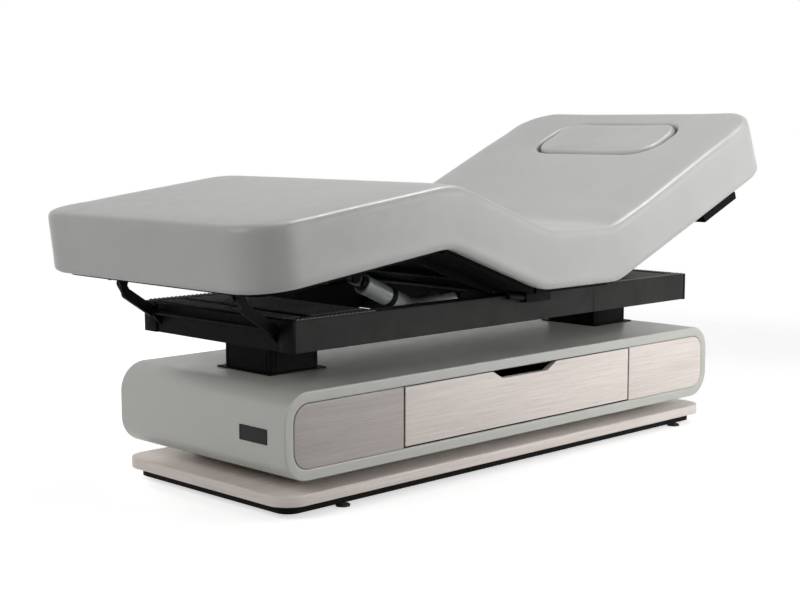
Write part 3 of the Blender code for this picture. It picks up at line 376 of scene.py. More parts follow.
def slab(name, outline, low, high, edge, material, axis):
    """A board with rounded edges on both faces."""
    return surface(name, slab_rings(outline, low, high, edge, edge, axis, 3), material)


def block(name, low, high, edge, material, axis):
    """A rounded block between two corners; its outline is rounded too."""
    keep = {'X': (1, 2), 'Y': (0, 2), 'Z': (0, 1)}[axis]
    along = 'XYZ'.index(axis)
    outline = rounded_outline(low[keep[0]], low[keep[1]], high[keep[0]], high[keep[1]], [edge] * 4, 3)
    return slab(name, outline, low[along], high[along], edge, material, axis)


def lathe(name, profile, centre, direction, material, sides, sharp=38, wrap=False):
    """A profile of (radius, distance) points turned about an axis through the centre."""
    profile = np.asarray(profile, float)
    axis = np.asarray(direction, float) / np.linalg.norm(direction)
    side = np.cross(axis, (0.0, 1.0, 0.0) if abs(axis[1]) < 0.9 else (1.0, 0.0, 0.0))
    side /= np.linalg.norm(side)
    other = np.cross(axis, side)
    angle = np.linspace(0, 2 * np.pi, sides, endpoint=False)
    spoke = np.cos(angle)[:, None] * side + np.sin(angle)[:, None] * other
    along = (profile[:, 1, None] * axis)[:, None, :]
    rings = np.asarray(centre) + profile[:, 0, None, None] * spoke + along
    return surface(name, rings, material, wrap, sharp=sharp)


def apply_modifiers(obj):
    """Replaces an object's mesh by its evaluated one."""
    depsgraph = bpy.context.evaluated_depsgraph_get()
    mesh = bpy.data.meshes.new_from_object(obj.evaluated_get(depsgraph), depsgraph=depsgraph)
    obj.modifiers.clear()
    old = obj.data
    obj.data = mesh
    bpy.data.meshes.remove(old)
    return obj


def cut_away(obj, cutters):
    """Cuts closed meshes out of an object and removes them."""
    for cutter in cutters:
        mod = obj.modifiers.new(cutter.name, 'BOOLEAN')
        mod.object = cutter
        mod.solver = 'EXACT'
    apply_modifiers(obj)
    for cutter in cutters:
        bpy.data.objects.remove(cutter)


def join(name, pieces):
    """Makes one object of several that share a body and a finish."""
    bm = bmesh.new()
    for piece in pieces:
        bm.from_mesh(piece.data)
    mesh = bpy.data.meshes.new(name)
    bm.to_mesh(mesh)
    bm.free()
    material = pieces[0].data.materials[0]
    for piece in pieces:
        bpy.data.objects.remove(piece)
    mesh.materials.append(material)
    return placed(name, mesh)


def values_of(items, key, size, kind):
    """One value of every item of a mesh, as a flat array."""
    values = np.empty(len(items) * size, kind)
    items.foreach_get(key, values)
    return values


def coordinates(mesh):
    """A mesh's points as one array."""
    return values_of(mesh.vertices, "co", 3, float).reshape(-1, 3)


def set_coordinates(mesh, points):
    """Puts an array of points back into a mesh."""
    mesh.vertices.foreach_set("co", np.ascontiguousarray(points, np.float32).ravel())
    mesh.update()


def finish(obj, body, slot, *nodes):
    """Hands a piece to the body it moves with and hides the solids it stands for; slot is not used."""
    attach(obj, body)
    if nodes:
        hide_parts(*nodes)
    return obj


# Helpers for finishes


class Finish:
    """A new material and short ways to add nodes to it."""

    def __init__(self, name, colour, roughness, metallic=0.0):
        self.material = bpy.data.materials.new(name)
        self.material.use_nodes = True
        self.nodes = self.material.node_tree.nodes
        self.links = self.material.node_tree.links
        self.shader = self.nodes["Principled BSDF"]
        self.shader.inputs["Base Color"].default_value = (*colour, 1)
        self.shader.inputs["Roughness"].default_value = roughness
        self.shader.inputs["Metallic"].default_value = metallic
        self.place = self.nodes.new('ShaderNodeTexCoord').outputs["Object"]

    def follow(self, attribute):
        """Reads the pattern's place from an attribute of the mesh, so that it moves with the cloth."""
        read = self.nodes.new('ShaderNodeAttribute')
        read.attribute_name = attribute
        self.place = read.outputs["Vector"]

    def shine(self, level):
        """How much the surface mirrors at all, 0.5 being plain plastic."""
        self.shader.inputs["Specular IOR Level"].default_value = level

    def stretch(self, x, y, z):
        """The pattern's place, scaled by its own amount along each axis."""
        mapping = self.nodes.new('ShaderNodeMapping')
        mapping.inputs["Scale"].default_value = (x, y, z)
        self.links.new(self.place, mapping.inputs["Vector"])
        return mapping.outputs["Vector"]

    def noise(self, scale, detail, place=None, distortion=0.0):
        """A cloudy pattern of 0 to 1."""
        texture = self.nodes.new('ShaderNodeTexNoise')
        texture.inputs["Scale"].default_value = scale
        texture.inputs["Detail"].default_value = detail
        texture.inputs["Distortion"].default_value = distortion
        self.links.new(place or self.place, texture.inputs["Vector"])
        return texture.outputs["Fac"]

    def cells(self, scale):
        """Distance to the edges between random cells, as in pebbled leather."""
        texture = self.nodes.new('ShaderNodeTexVoronoi')
        texture.feature = 'DISTANCE_TO_EDGE'
        texture.inputs["Scale"].default_value = scale
        self.links.new(self.place, texture.inputs["Vector"])
        return texture.outputs["Distance"]

    def between(self, value, low, high, start=0.3, end=0.7):
        """Maps a pattern's value from start..end to low..high."""
        ramp = self.nodes.new('ShaderNodeMapRange')
        ramp.inputs["From Min"].default_value = start
        ramp.inputs["From Max"].default_value = end
        ramp.inputs["To Min"].default_value = low
        ramp.inputs["To Max"].default_value = high
        self.links.new(value, ramp.inputs["Value"])
        return ramp.outputs["Result"]

    def blend_colours(self, value, first, second):
        """Mixes two colours, or outputs of colour, by a pattern's value."""
        mix = self.nodes.new('ShaderNodeMix')
        mix.data_type = 'RGBA'
        self.links.new(value, mix.inputs["Factor"])
        for socket, colour in ((mix.inputs[6], first), (mix.inputs[7], second)):
            if isinstance(colour, bpy.types.NodeSocket):
                self.links.new(colour, socket)
            else:
                socket.default_value = (*colour, 1)
        return mix.outputs[2]

    def colour(self, value):
        """Takes the colour from a node's output."""
        self.links.new(value, self.shader.inputs["Base Color"])

    def roughness(self, value):
        """Takes the roughness from a node's output."""
        self.links.new(value, self.shader.inputs["Roughness"])

    def clouded(self, scale, base, low, high):
        """A colour made a little darker and lighter by a cloudy pattern."""
        cloud = self.between(self.noise(scale, 3.0), 0, 1)
        return self.blend_colours(cloud, shade(base, low), shade(base, high))

    def uneven(self, scale, low, high, detail=3.0):
        """Roughness that changes between two values by a cloudy pattern."""
        self.roughness(self.between(self.noise(scale, detail), low, high))

    def bump(self, value, strength, distance):
        """Adds one more layer of relief under those that are there."""
        bump = self.nodes.new('ShaderNodeBump')
        bump.inputs["Strength"].default_value = strength
        bump.inputs["Distance"].default_value = distance
        self.links.new(value, bump.inputs["Height"])
        target = self.shader.inputs["Normal"]
        if target.is_linked:
            self.links.new(target.links[0].from_socket, bump.inputs["Normal"])
        self.links.new(bump.outputs["Normal"], target)


def shade(colour, factor):
    """A colour made darker or lighter, no channel over 1."""
    return tuple(min(1.0, c * factor) for c in colour)


def coated_fabric(settings):
    """Smooth coated upholstery: fine pebble grain, faint clouding, satin."""
    base = tuple(settings.colour)
    f = Finish("coated_upholstery", base, settings.roughness)
    f.follow("cloth_place")
    f.colour(f.clouded(7.0, base, 0.965, 1.025))
    f.uneven(40.0, settings.roughness - 0.04, settings.roughness + 0.05)
    f.bump(f.cells(620.0), 0.10, 0.0004)
    f.bump(f.noise(1500.0, 2.0), 0.06, 0.0003)
    f.bump(f.noise(14.0, 2.0), 0.10, 0.003)
    f.shader.inputs["Sheen Weight"].default_value = 0.06
    return f.material


def lacquer(settings):
    """Satin lacquer with a faint orange-peel surface."""
    base = tuple(settings.lacquer)
    f = Finish("satin_lacquer", base, 0.36)
    f.colour(f.clouded(3.0, base, 0.985, 1.012))
    f.uneven(25.0, 0.33, 0.41)
    f.bump(f.noise(420.0, 2.0), 0.05, 0.0004)
    return f.material


def veneer(settings, name="washed_veneer", tone=1.0, across=1.0):
    """Washed ash veneer: long fine grain along X, wider bands and short dark pores.

    A small value of across makes the grain run along Y too, as on an edge band that turns corners.
    """
    light, dark = shade(settings.veneer_light, tone), shade(settings.veneer_dark, tone)
    f = Finish(name, light, 0.46)
    fibres = f.noise(1.0, 5.0, f.stretch(5.0, 260.0 * across, 260.0), 0.2)
    bands = f.noise(1.0, 3.0, f.stretch(1.3, 26.0 * across, 26.0), 0.6)
    pores = f.noise(1.0, 2.0, f.stretch(22.0, 900.0 * across, 900.0))
    body = f.blend_colours(f.between(fibres, 0, 1, 0.35, 0.65), light, dark)
    body = f.blend_colours(f.between(bands, 0, 0.45, 0.4, 0.7), body, shade(dark, 0.93))
    f.colour(f.blend_colours(f.between(pores, 0, 0.5, 0.60, 0.74), body, shade(dark, 0.62)))
    f.roughness(f.between(fibres, 0.42, 0.54))
    f.bump(fibres, 0.12, 0.0003)
    f.bump(pores, 0.10, 0.0003)
    return f.material


def powder_coat(name, colour, gloss):
    """Powder coat with its fine pebbled surface."""
    base = tuple(colour)
    f = Finish(name, base, 0.5)
    f.shine(gloss)
    f.colour(f.clouded(9.0, base, 0.8, 1.3))
    f.uneven(60.0, 0.44, 0.58)
    f.bump(f.noise(1100.0, 3.0), 0.18, 0.0004)
    return f.material


def black_board():
    """Black coated board under the cushions."""
    f = Finish("black_board", (0.003, 0.003, 0.003), 0.7)
    f.shine(0.04)
    f.uneven(80.0, 0.52, 0.68)
    f.bump(f.noise(1.0, 2.0, f.stretch(90, 700, 700)), 0.12, 0.0004)
    return f.material


def brown_board():
    """Plain brown board inside the cabinet."""
    f = Finish("brown_board", srgb(126, 102, 93), 0.6)
    f.shine(0.2)
    grain = f.noise(1.0, 4.0, f.stretch(5, 160, 160), 0.3)
    f.colour(f.blend_colours(f.between(grain, 0, 1), srgb(116, 93, 85), srgb(136, 111, 101)))
    f.bump(grain, 0.1, 0.0003)
    return f.material


def black_plastic():
    """Black moulded plastic."""
    f = Finish("black_moulded", (0.008, 0.008, 0.008), 0.48)
    f.shine(0.2)
    f.uneven(50.0, 0.42, 0.55)
    f.bump(f.noise(1800.0, 2.0), 0.12, 0.0003)
    return f.material


def grey_housing(settings):
    """Light grey moulded housings; the leg actuator's fork end, short of its motor, is black."""
    base = tuple(settings.housing)
    f = Finish("grey_housing", base, 0.34, 0.35)
    light = f.clouded(20.0, base, 0.94, 1.04)
    along = f.nodes.new('ShaderNodeVectorMath')
    along.operation = 'DOT_PRODUCT'
    f.links.new(f.place, along.inputs[0])
    along.inputs[1].default_value = tuple(LEG_MOTOR_AXIS)
    start = float(LEG_MOTOR_PIN @ LEG_MOTOR_AXIS) + FORK_LENGTH
    body = f.between(along.outputs["Value"], 0, 1, start - 0.0005, start + 0.0005)
    f.colour(f.blend_colours(body, (0.01, 0.01, 0.01), light))
    f.links.new(f.between(along.outputs["Value"], 0, 0.35, start - 0.0005, start + 0.0005),
                f.shader.inputs["Metallic"])
    f.uneven(60.0, 0.34, 0.46, 2.0)
    f.bump(f.noise(1300.0, 2.0), 0.10, 0.0003)
    return f.material


def drawn_steel(name, colour):
    """Plated steel with fine drawing marks."""
    f = Finish(name, colour, 0.28, 1.0)
    marks = f.noise(1.0, 3.0, f.stretch(1400, 30, 1400))
    f.roughness(f.between(marks, 0.22, 0.38))
    f.bump(marks, 0.05, 0.0002)
    return f.material


def rubber():
    """Dull black rubber of the levelling feet."""
    f = Finish("black_rubber", (0.018, 0.018, 0.018), 0.75)
    f.uneven(90.0, 0.65, 0.85)
    f.bump(f.noise(900.0, 2.0), 0.15, 0.0004)
    return f.material


MATERIALS = {}


def material(name):
    """The finish of that name, made when it is first asked for."""
    scene = bpy.context.scene
    makers = {
        "upholstery": lambda: coated_fabric(scene.spa_upholstery),
        "cabinet_lacquer": lambda: lacquer(scene.spa_cabinet),
        "ash_veneer": lambda: veneer(scene.spa_cabinet),
        "edge_banding": lambda: veneer(scene.spa_cabinet, "edge_banding", 1.0, 0.03),
        "darker_veneer": lambda: veneer(scene.spa_cabinet, "darker_veneer", 0.58),
        "cabinet_interior": brown_board,
        "black_powder_coat": lambda: powder_coat("black_powder_coat", scene.spa_steel.coat, 0.05),
        # Lighter copy of the black powder coat for the long beams: painted light for their lit near
        # faces
        "beam_coat": lambda: powder_coat("beam_coat", scene.spa_steel.beam, 0.08),
        # The embossed sheets are black steel; their colour is the beam coat made 5.5 times lighter,
        # painted light so they read lit in the shade under the cushion
        "embossed_sheet": lambda: powder_coat("embossed_sheet", shade(scene.spa_steel.beam, 5.5), 0.2),
        "black_board": black_board,
        "black_housing": black_plastic,
        "motor_housing": lambda: grey_housing(scene.spa_steel),
        "bright_steel": lambda: drawn_steel("bright_steel", (0.60, 0.60, 0.59)),
        # Darkened copy of the drawn steel for the hinge shafts: painted shade that keeps them dark under
        # the cushion
        "dark_steel": lambda: drawn_steel("dark_steel", (0.035, 0.035, 0.035)),
        "foot_rubber": rubber,
    }
    if name not in MATERIALS:
        MATERIALS[name] = makers[name]()
    return MATERIALS[name]


# The cushion: made flat, then carried along the bent line of the table


def turned(hinge, tilt, along, height):
    """A point of a section's own frame, in the row frame."""
    a = math.radians(tilt)
    return hinge + np.array((along * math.cos(a) + height * math.sin(a),
                             -along * math.sin(a) + height * math.cos(a)))


KNEE_HINGE = turned(THIGH_HINGE, THIGH_TILT, -THIGH_LENGTH, 0)


def mitre(hinge, before, after, height):
    """Where the surfaces at that height of two sections meet."""
    half = math.radians((before - after) / 2)
    return turned(hinge, (before + after) / 2, 0, height / math.cos(half))


def bend_tables():
    """Lines of the cushion's underside and top against distance along the flat cushion.

    Each is a run of straight pieces that meet where the sections' planes do, rounded by a moving mean.
    """
    low = PAD_BOTTOM
    high = PAD_BOTTOM + PAD_THICK
    slope = (BACK_THICK[1] - BACK_THICK[0]) / BACK_LENGTH

    def back_height(upper, along):
        """Height of the back section's pad, which is thicker at the head end."""
        return low + (BACK_THICK[0] + slope * along if upper else 0)

    tables = []
    places = np.arange(-BEND_MARGIN, CUSHION_LENGTH + BEND_MARGIN, BEND_STEP)
    for upper in (False, True):
        h = high if upper else low
        points = [(0.0, turned(KNEE_HINGE, LEG_TILT, -LEG_LENGTH, h)),
                  (KNEE_AT - 0.10, turned(KNEE_HINGE, LEG_TILT, -0.10, h)),
                  (KNEE_AT, mitre(KNEE_HINGE, LEG_TILT, THIGH_TILT, h)),
                  (KNEE_AT + 0.10, turned(THIGH_HINGE, THIGH_TILT, -THIGH_LENGTH + 0.10, h)),
                  (THIGH_AT - 0.12, turned(THIGH_HINGE, THIGH_TILT, -0.12, h)),
                  (THIGH_AT, mitre(THIGH_HINGE, THIGH_TILT, 0, h)),
                  (THIGH_AT + 0.12, turned(THIGH_HINGE, 0, 0.12, h)),
                  (BACK_AT - 0.12, turned(BACK_HINGE, 0, -0.12, h)),
                  (BACK_AT, mitre(BACK_HINGE, 0, BACK_TILT, h)),
                  (BACK_AT + 0.18, turned(BACK_HINGE, BACK_TILT, 0.18, back_height(upper, 0.18))),
                  (CUSHION_LENGTH,
                   turned(BACK_HINGE, BACK_TILT, BACK_LENGTH, back_height(upper, BACK_LENGTH)))]
        at = np.array([p[0] for p in points])
        line = np.array([p[1] for p in points])
        reach = BEND_MARGIN * 4
        first = line[0] + (line[0] - line[1]) / (at[1] - at[0]) * reach
        last = line[-1] + (line[-1] - line[-2]) / (at[-1] - at[-2]) * reach
        at = np.concatenate(([-reach], at, [CUSHION_LENGTH + reach]))
        line = np.vstack((first, line, last))
        window = int((BEND_OVER if upper else BEND_UNDER) / BEND_STEP)
        reach = window * BEND_STEP
        wide = np.arange(places[0] - reach, places[-1] + reach * 1.01, BEND_STEP)
        kernel = np.hanning(window * 2 + 1)
        kernel /= kernel.sum()
        smooth = [np.convolve(np.interp(wide, at, line[:, k]), kernel, 'valid') for k in (0, 1)]
        tables.append(np.stack(smooth, 1)[:len(places)])
    return places, tables[0], tables[1]


def bend(points, tables):
    """Carries flat cushion points (along, across, height) to the bent cushion.

    Height counts in cushion thicknesses between the underside's and the top's lines.
    """
    places, low, high = tables
    under = np.stack([np.interp(points[:, 0], places, low[:, k]) for k in (0, 1)], 1)
    over = np.stack([np.interp(points[:, 0], places, high[:, k]) for k in (0, 1)], 1)
    place = under + (over - under) * (points[:, 2] / PAD_THICK)[:, None]
    return np.stack((place[:, 0], points[:, 1], place[:, 1]), 1)


def face_distance(points):
    """Signed distance in plan to the face opening's outline, and the direction away from it."""
    half = np.array(FACE_SIZE) / 2 - FACE_RADIUS
    local = points[:, :2] - np.array((BACK_AT + FACE_CENTRE, 0.0))
    reach = np.abs(local) - half
    outside = np.maximum(reach, 0)
    length = np.linalg.norm(outside, axis=1)
    distance = length + np.minimum(reach.max(1), 0) - FACE_RADIUS
    away = np.where(length[:, None] > 1e-6, outside / np.maximum(length, 1e-6)[:, None],
                    np.eye(2)[reach.argmax(1)])
    return distance, away * np.where(local < 0, -1, 1)


def clear_opening(points, gap, inside):
    """Moves points that cross the face opening's outline back to their own side of it."""
    distance, away = face_distance(points)
    move = np.minimum(-gap - distance, 0) if inside else np.maximum(gap - distance, 0)
    near = np.abs(distance) < 0.03
    points[:, :2] += away * (move * near)[:, None]
    return points


def puff(obj, swell):
    """Blows the cover up as cloth over its stuffing.

    Each point's travel is capped by swell * tanh(travel / swell), held back sideways, smoothed over the
    mesh and faded out towards the underside, which stays flat on its deck.
    """
    before = coordinates(obj.data)
    mod = obj.modifiers.new("stuffing", 'CLOTH')
    mod.settings.quality = 4
    mod.settings.use_pressure = True
    mod.settings.uniform_pressure_force = PRESSURE
    mod.settings.effector_weights.gravity = 0.0
    mod.point_cache.frame_start = 1
    mod.point_cache.frame_end = FRAMES
    scene = bpy.context.scene
    for number in range(1, FRAMES + 1):
        scene.frame_set(number)
    depsgraph = bpy.context.evaluated_depsgraph_get()
    after = coordinates(obj.evaluated_get(depsgraph).data)
    obj.modifiers.remove(mod)
    scene.frame_set(1)
    travel = after - before
    length = np.maximum(np.linalg.norm(travel, axis=1), 1e-9)
    travel *= (swell * np.tanh(length / swell) / length)[:, None]
    travel[:, :2] *= SIDE_TRAVEL
    travel = smoothed(obj.data, travel, TRAVEL_ROUNDS)
    rise = np.clip(before[:, 2] / HELD_HEIGHT, 0, 1)
    travel *= (rise * rise * (3 - 2 * rise))[:, None]
    set_coordinates(obj.data, before + travel)


def smoothed(mesh, values, rounds):
    """Values at a mesh's points, each mixed with the mean of its neighbours' once per round."""
    ends = values_of(mesh.edges, "vertices", 2, np.int32).reshape(-1, 2)
    here = np.concatenate((ends[:, 0], ends[:, 1]))
    there = np.concatenate((ends[:, 1], ends[:, 0]))
    count = np.maximum(np.bincount(here, minlength=len(values)), 1)
    for _ in range(rounds):
        total = np.stack([np.bincount(here, values[there, k], len(values)) for k in range(3)], 1)
        values = (values + total / count[:, None]) / 2
    return values


def remesh(obj, size):
    """Covers an object with an even net of cells, as the cloth needs, and softens it once."""
    mod = obj.modifiers.new("even", 'REMESH')
    mod.mode = 'VOXEL'
    mod.voxel_size = size
    mod.use_smooth_shade = True
    soften = obj.modifiers.new("soften", 'SMOOTH')
    soften.factor = 0.5
    soften.iterations = 1
    apply_modifiers(obj)


def subdivide(obj):
    """Makes a mesh finer by one level of subdivision."""
    mod = obj.modifiers.new("fine", 'SUBSURF')
    mod.levels = 1
    mod.render_levels = 1
    apply_modifiers(obj)


def bent_piece(name, source, tables, low, high):
    """The part of the flat cushion between two places along it, closed at its cuts and bent.

    Its normals are those of the whole cushion, so that no line shows where two pieces meet.
    """
    bm = bmesh.new()
    bm.from_mesh(source)
    outside = [f for f in bm.faces if not low < f.calc_center_median().x < high]
    bmesh.ops.delete(bm, geom=outside, context='FACES')
    kept = len(bm.faces)
    bmesh.ops.holes_fill(bm, edges=[e for e in bm.edges if e.is_boundary], sides=0)
    mesh = bpy.data.meshes.new(name)
    bm.to_mesh(mesh)
    bm.free()
    flat = coordinates(mesh)
    attribute = mesh.attributes.new("cloth_place", 'FLOAT_VECTOR', 'POINT')
    attribute.data.foreach_set("vector", flat.astype(np.float32).ravel())
    set_coordinates(mesh, bend(flat, tables))
    mesh.shade_smooth()
    normals = values_of(mesh.attributes["whole_normal"].data, "vector", 3, np.float32)
    corners = values_of(mesh.loops, "vertex_index", 1, np.int32)
    at_corners = normals.reshape(-1, 3)[corners]
    for polygon in mesh.polygons[kept:]:
        at_corners[polygon.loop_start:polygon.loop_start + polygon.loop_total] = polygon.normal
    mesh.normals_split_custom_set(at_corners.tolist())
    mesh.attributes.remove(mesh.attributes["whole_normal"])
    mesh.materials.append(material("upholstery"))
    return placed(name, mesh)


def keep_whole_normals(obj, tables):
    """Stores the normals that the bent cushion has before it is cut."""
    flat = coordinates(obj.data)
    set_coordinates(obj.data, bend(flat, tables))
    normals = values_of(obj.data.vertex_normals, "vector", 3, np.float32)
    set_coordinates(obj.data, flat)
    attribute = obj.data.attributes.new("whole_normal", 'FLOAT_VECTOR', 'POINT')
    attribute.data.foreach_set("vector", normals)


def slice_at(obj, places):
    """Cuts loops of edges into the flat cushion where its pieces will part."""
    bm = bmesh.new()
    bm.from_mesh(obj.data)
    for place in places:
        geometry = list(bm.verts) + list(bm.edges) + list(bm.faces)
        bmesh.ops.bisect_plane(bm, geom=geometry, dist=1e-5, plane_co=(place, 0, 0), plane_no=(1, 0, 0))
    bm.to_mesh(obj.data)
    bm.free()


def hem(points):
    """Draws the cushion's rim down past the deck's edge, where the cover is wrapped round the board.

    The drop is HEM_DROP * smoothstep of the distance to the outline, fading out up the side.
    """
    radius = np.where(points[:, 0] < CUSHION_LENGTH / 2, FOOT_CORNER, HEAD_CORNER)
    reach = np.abs(points[:, :2] - (CUSHION_LENGTH / 2, 0)) - (CUSHION_LENGTH / 2, TABLE_WIDTH / 2)
    reach += radius[:, None]
    inside = radius - np.linalg.norm(np.maximum(reach, 0), axis=1) - np.minimum(reach.max(1), 0)
    near = np.clip((HEM_WIDTH - inside) / HEM_FADE, 0, 1)
    low = np.clip(1 - points[:, 2] / HEM_HEIGHT, 0, 1)
    points[:, 2] -= HEM_DROP * near * near * (3 - 2 * near) * low
    return points


class SPA_OT_cushion(bpy.types.Operator):
    """Upholstered cushion over the leg, thigh, seat and back sections"""
    bl_idname = "spa.cushion"
    bl_label = "Cushion"

    def execute(self, context):
        settings = context.scene.spa_upholstery
        tables = bend_tables()
        slack = settings.swell * 0.8
        half = TABLE_WIDTH / 2 - slack
        radii = [FOOT_CORNER, HEAD_CORNER, HEAD_CORNER, FOOT_CORNER]
        outline = rounded_outline(slack, -half, CUSHION_LENGTH - slack, half, radii, 14)
        top = PAD_THICK - settings.swell * 0.6
        rings = slab_rings(outline, 0, top, UNDER_EDGE, settings.edge, 'Z', 7)
        whole = surface("cushion_flat", rings, None)
        x = BACK_AT + FACE_CENTRE
        grow = OPENING_GAP + slack
        opening = rounded_outline(x - FACE_SIZE[0] / 2 - grow, -FACE_SIZE[1] / 2 - grow,
                                  x + FACE_SIZE[0] / 2 + grow, FACE_SIZE[1] / 2 + grow,
                                  [FACE_RADIUS + grow] * 4, 8)
        hole = surface("opening", [upright(opening, -0.05, 'Z'), upright(opening, 0.25, 'Z')], None)
        cut_away(whole, [hole])
        remesh(whole, CELL)
        puff(whole, settings.swell)
        subdivide(whole)
        set_coordinates(whole.data, hem(clear_opening(coordinates(whole.data), 0.0, False)))
        slice_at(whole, (CUT_THIGH, CUT_SEAT))
        keep_whole_normals(whole, tables)
        end = CUSHION_LENGTH + 1
        leg = bent_piece("cushion_leg", whole.data, tables, -1, CUT_THIGH)
        seat = bent_piece("cushion_seat", whole.data, tables, CUT_THIGH, CUT_SEAT)
        back = bent_piece("cushion_back", whole.data, tables, CUT_SEAT, end)
        bpy.data.objects.remove(whole)
        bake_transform(leg)
        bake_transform(seat)
        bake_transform(back)
        for piece, nodes in ((leg, ("leg_pad", "thigh_pad")), (seat, ("seat_pad",)),
                             (back, ("back_pad",))):
            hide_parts(*nodes)
        return {'FINISHED'}


class SPA_OT_face_cushion(bpy.types.Operator):
    """Loose cushion that closes the face opening"""
    bl_idname = "spa.face_cushion"
    bl_label = "Face cushion"

    def execute(self, context):
        tables = bend_tables()
        x = BACK_AT + FACE_CENTRE
        half_x, half_y = FACE_SIZE[0] / 2 - FACE_INSET, FACE_SIZE[1] / 2 - FACE_INSET
        radii = [FACE_RADIUS - FACE_INSET] * 4
        outline = densify(rounded_outline(x - half_x, -half_y, x + half_x, half_y, radii, 14), 0.008)
        rings = slab_rings(outline, 0, PAD_THICK - 0.001, *FACE_EDGE, 'Z', 6)
        centre = np.array((x, 0.0, 0.0))
        towards = np.linspace(0.93, 0.05, 15)[:, None, None]
        level = np.array((1.0, 1.0, 0.0))
        inner = [(ring - centre) * level * towards + centre + ring * (0, 0, 1)
                 for ring in (rings[0], rings[-1])]
        piece = surface("face_cushion_flat", [*inner[0][::-1], *rings, *inner[1]], None)
        puff(piece, FACE_SWELL)
        subdivide(piece)
        set_coordinates(piece.data, clear_opening(coordinates(piece.data), FACE_CLEAR, True))
        keep_whole_normals(piece, tables)
        done = bent_piece("face_cushion", piece.data, tables, -1, CUSHION_LENGTH + 1)
        bpy.data.objects.remove(piece)
        finish(done, "insert", "upholstery", "face_insert")
        return {'FINISHED'}


class SPA_OT_cabinet(bpy.types.Operator):
    """Lacquered shell wrapped round the cabinet, with rounded rims"""
    bl_idname = "spa.cabinet"
    bl_label = "Cabinet shell"

    def execute(self, context):
        rim = context.scene.spa_cabinet.rim
        outline = densify(rounded_outline(-CABINET_HALF + OFFSET, CABINET_Z[0], CABINET_HALF + OFFSET,
                                          CABINET_Z[1], [CABINET_RADIUS] * 4, 16), 0.03)
        out = outward(outline)
        section = rounded_outline(0, FRONT_Y, CABINET_WALL, -FRONT_Y, [rim] * 4, 5)
        rings = [upright(outline - out * inset, depth, 'Y') for inset, depth in section]
        shell = surface("cabinet_wrap", rings, material("cabinet_lacquer"), wrap=True)
        holes = []
        half_x, half_y = COLUMN_HALF
        for x in COLUMN_X:
            opening = rounded_outline(x - half_x, -half_y, x + half_x, half_y, [COLUMN_CORNER] * 4, 3)
            rings = [upright(opening, z, 'Z') for z in COLUMN_CUT]
            holes.append(surface("hole", rings, None))
        cut_away(shell, holes)
        shell.data.shade_smooth()
        shell.data.set_sharp_from_angle(angle=math.radians(38))
        finish(shell, "base", "cabinet_lacquer", "cabinet_shell")
        return {'FINISHED'}


class SPA_OT_panels(bpy.types.Operator):
    """Veneered panels beside the drawer and across the back"""
    bl_idname = "spa.panels"
    bl_label = "Cabinet panels"

    def execute(self, context):
        radius = CABINET_RADIUS - CABINET_WALL - PANEL_GAP
        x0 = -CABINET_HALF + CABINET_WALL + PANEL_GAP + OFFSET
        x1 = CABINET_HALF - CABINET_WALL - PANEL_GAP + OFFSET
        left = DRAWER_CENTRE - DRAWER_HALF
        right = DRAWER_CENTRE + DRAWER_HALF
        low, high = PANEL_LOW + PANEL_GAP, PANEL_HIGH - PANEL_GAP
        front, back = (FRONT_Y, FRONT_Y + BOARD), (-FRONT_Y - BOARD, -FRONT_Y)
        foot_radii, head_radii = [radius, 0, 0, radius], [0, radius, radius, 0]
        for name, a, b, radii, y, wood, node in (
                ("panel_foot", x0, left, foot_radii, front, "darker_veneer", "front_panel_foot"),
                ("panel_head", right, x1, head_radii, front, "ash_veneer", "front_panel_head"),
                ("panel_back", x0, x1, [radius] * 4, back, "ash_veneer", "back_panel")):
            outline = rounded_outline(a, low, b, high, radii, 12)
            piece = slab(name, outline, *y, PANEL_EDGE, material(wood), 'Y')
            finish(piece, "base", "ash_veneer", node)
        return {'FINISHED'}


class SPA_OT_drawer(bpy.types.Operator):
    """Drawer front with its finger cut-out, and the black strip of painted shadow in the gap round it"""
    bl_idname = "spa.drawer"
    bl_label = "Drawer front"

    def execute(self, context):
        half = DRAWER_HALF - DRAWER_GAP
        low = PANEL_LOW + DRAWER_GAP_LOW
        high = PANEL_HIGH - DRAWER_GAP_HIGH
        c = DRAWER_CENTRE
        wide, narrow = CUTOUT_HALF
        floor = high - CUTOUT_DEPTH
        outline = np.array(((c - half, low), (c + half, low), (c + half, high),
                            (c + wide, high), (c + narrow, floor), (c - narrow, floor), (c - wide, high),
                            (c - half, high)))
        wood = material("ash_veneer")
        piece = slab("drawer_face", outline, FRONT_Y, FRONT_Y + BOARD, PANEL_EDGE, wood, 'Y')
        finish(piece, "drawer", "ash_veneer", "drawer_front")
        # A black ring in the gap round the drawer front: painted shadow that keeps the gap dark
        rings = []
        near, far = PAINTED_SHADOW_DEPTH
        for fill, y in ((0, near), (1, near), (1, far), (0, far)):
            x = DRAWER_HALF - PAINTED_SHADOW_ROOM - fill * (DRAWER_GAP - 2 * PAINTED_SHADOW_ROOM)
            z0 = PANEL_LOW + PAINTED_SHADOW_ROOM + fill * (DRAWER_GAP_LOW - 2 * PAINTED_SHADOW_ROOM)
            z1 = PANEL_HIGH - PAINTED_SHADOW_ROOM - fill * (DRAWER_GAP_HIGH - 2 * PAINTED_SHADOW_ROOM)
            corners = np.array(((c - x, z0), (c + x, z0), (c + x, z1), (c - x, z1)))
            rings.append(upright(corners, FRONT_Y + y, 'Y'))
        painted_shadow = surface("drawer_seal", rings, material("black_board"), wrap=True)
        finish(painted_shadow, "drawer", "black_board")
        return {'FINISHED'}


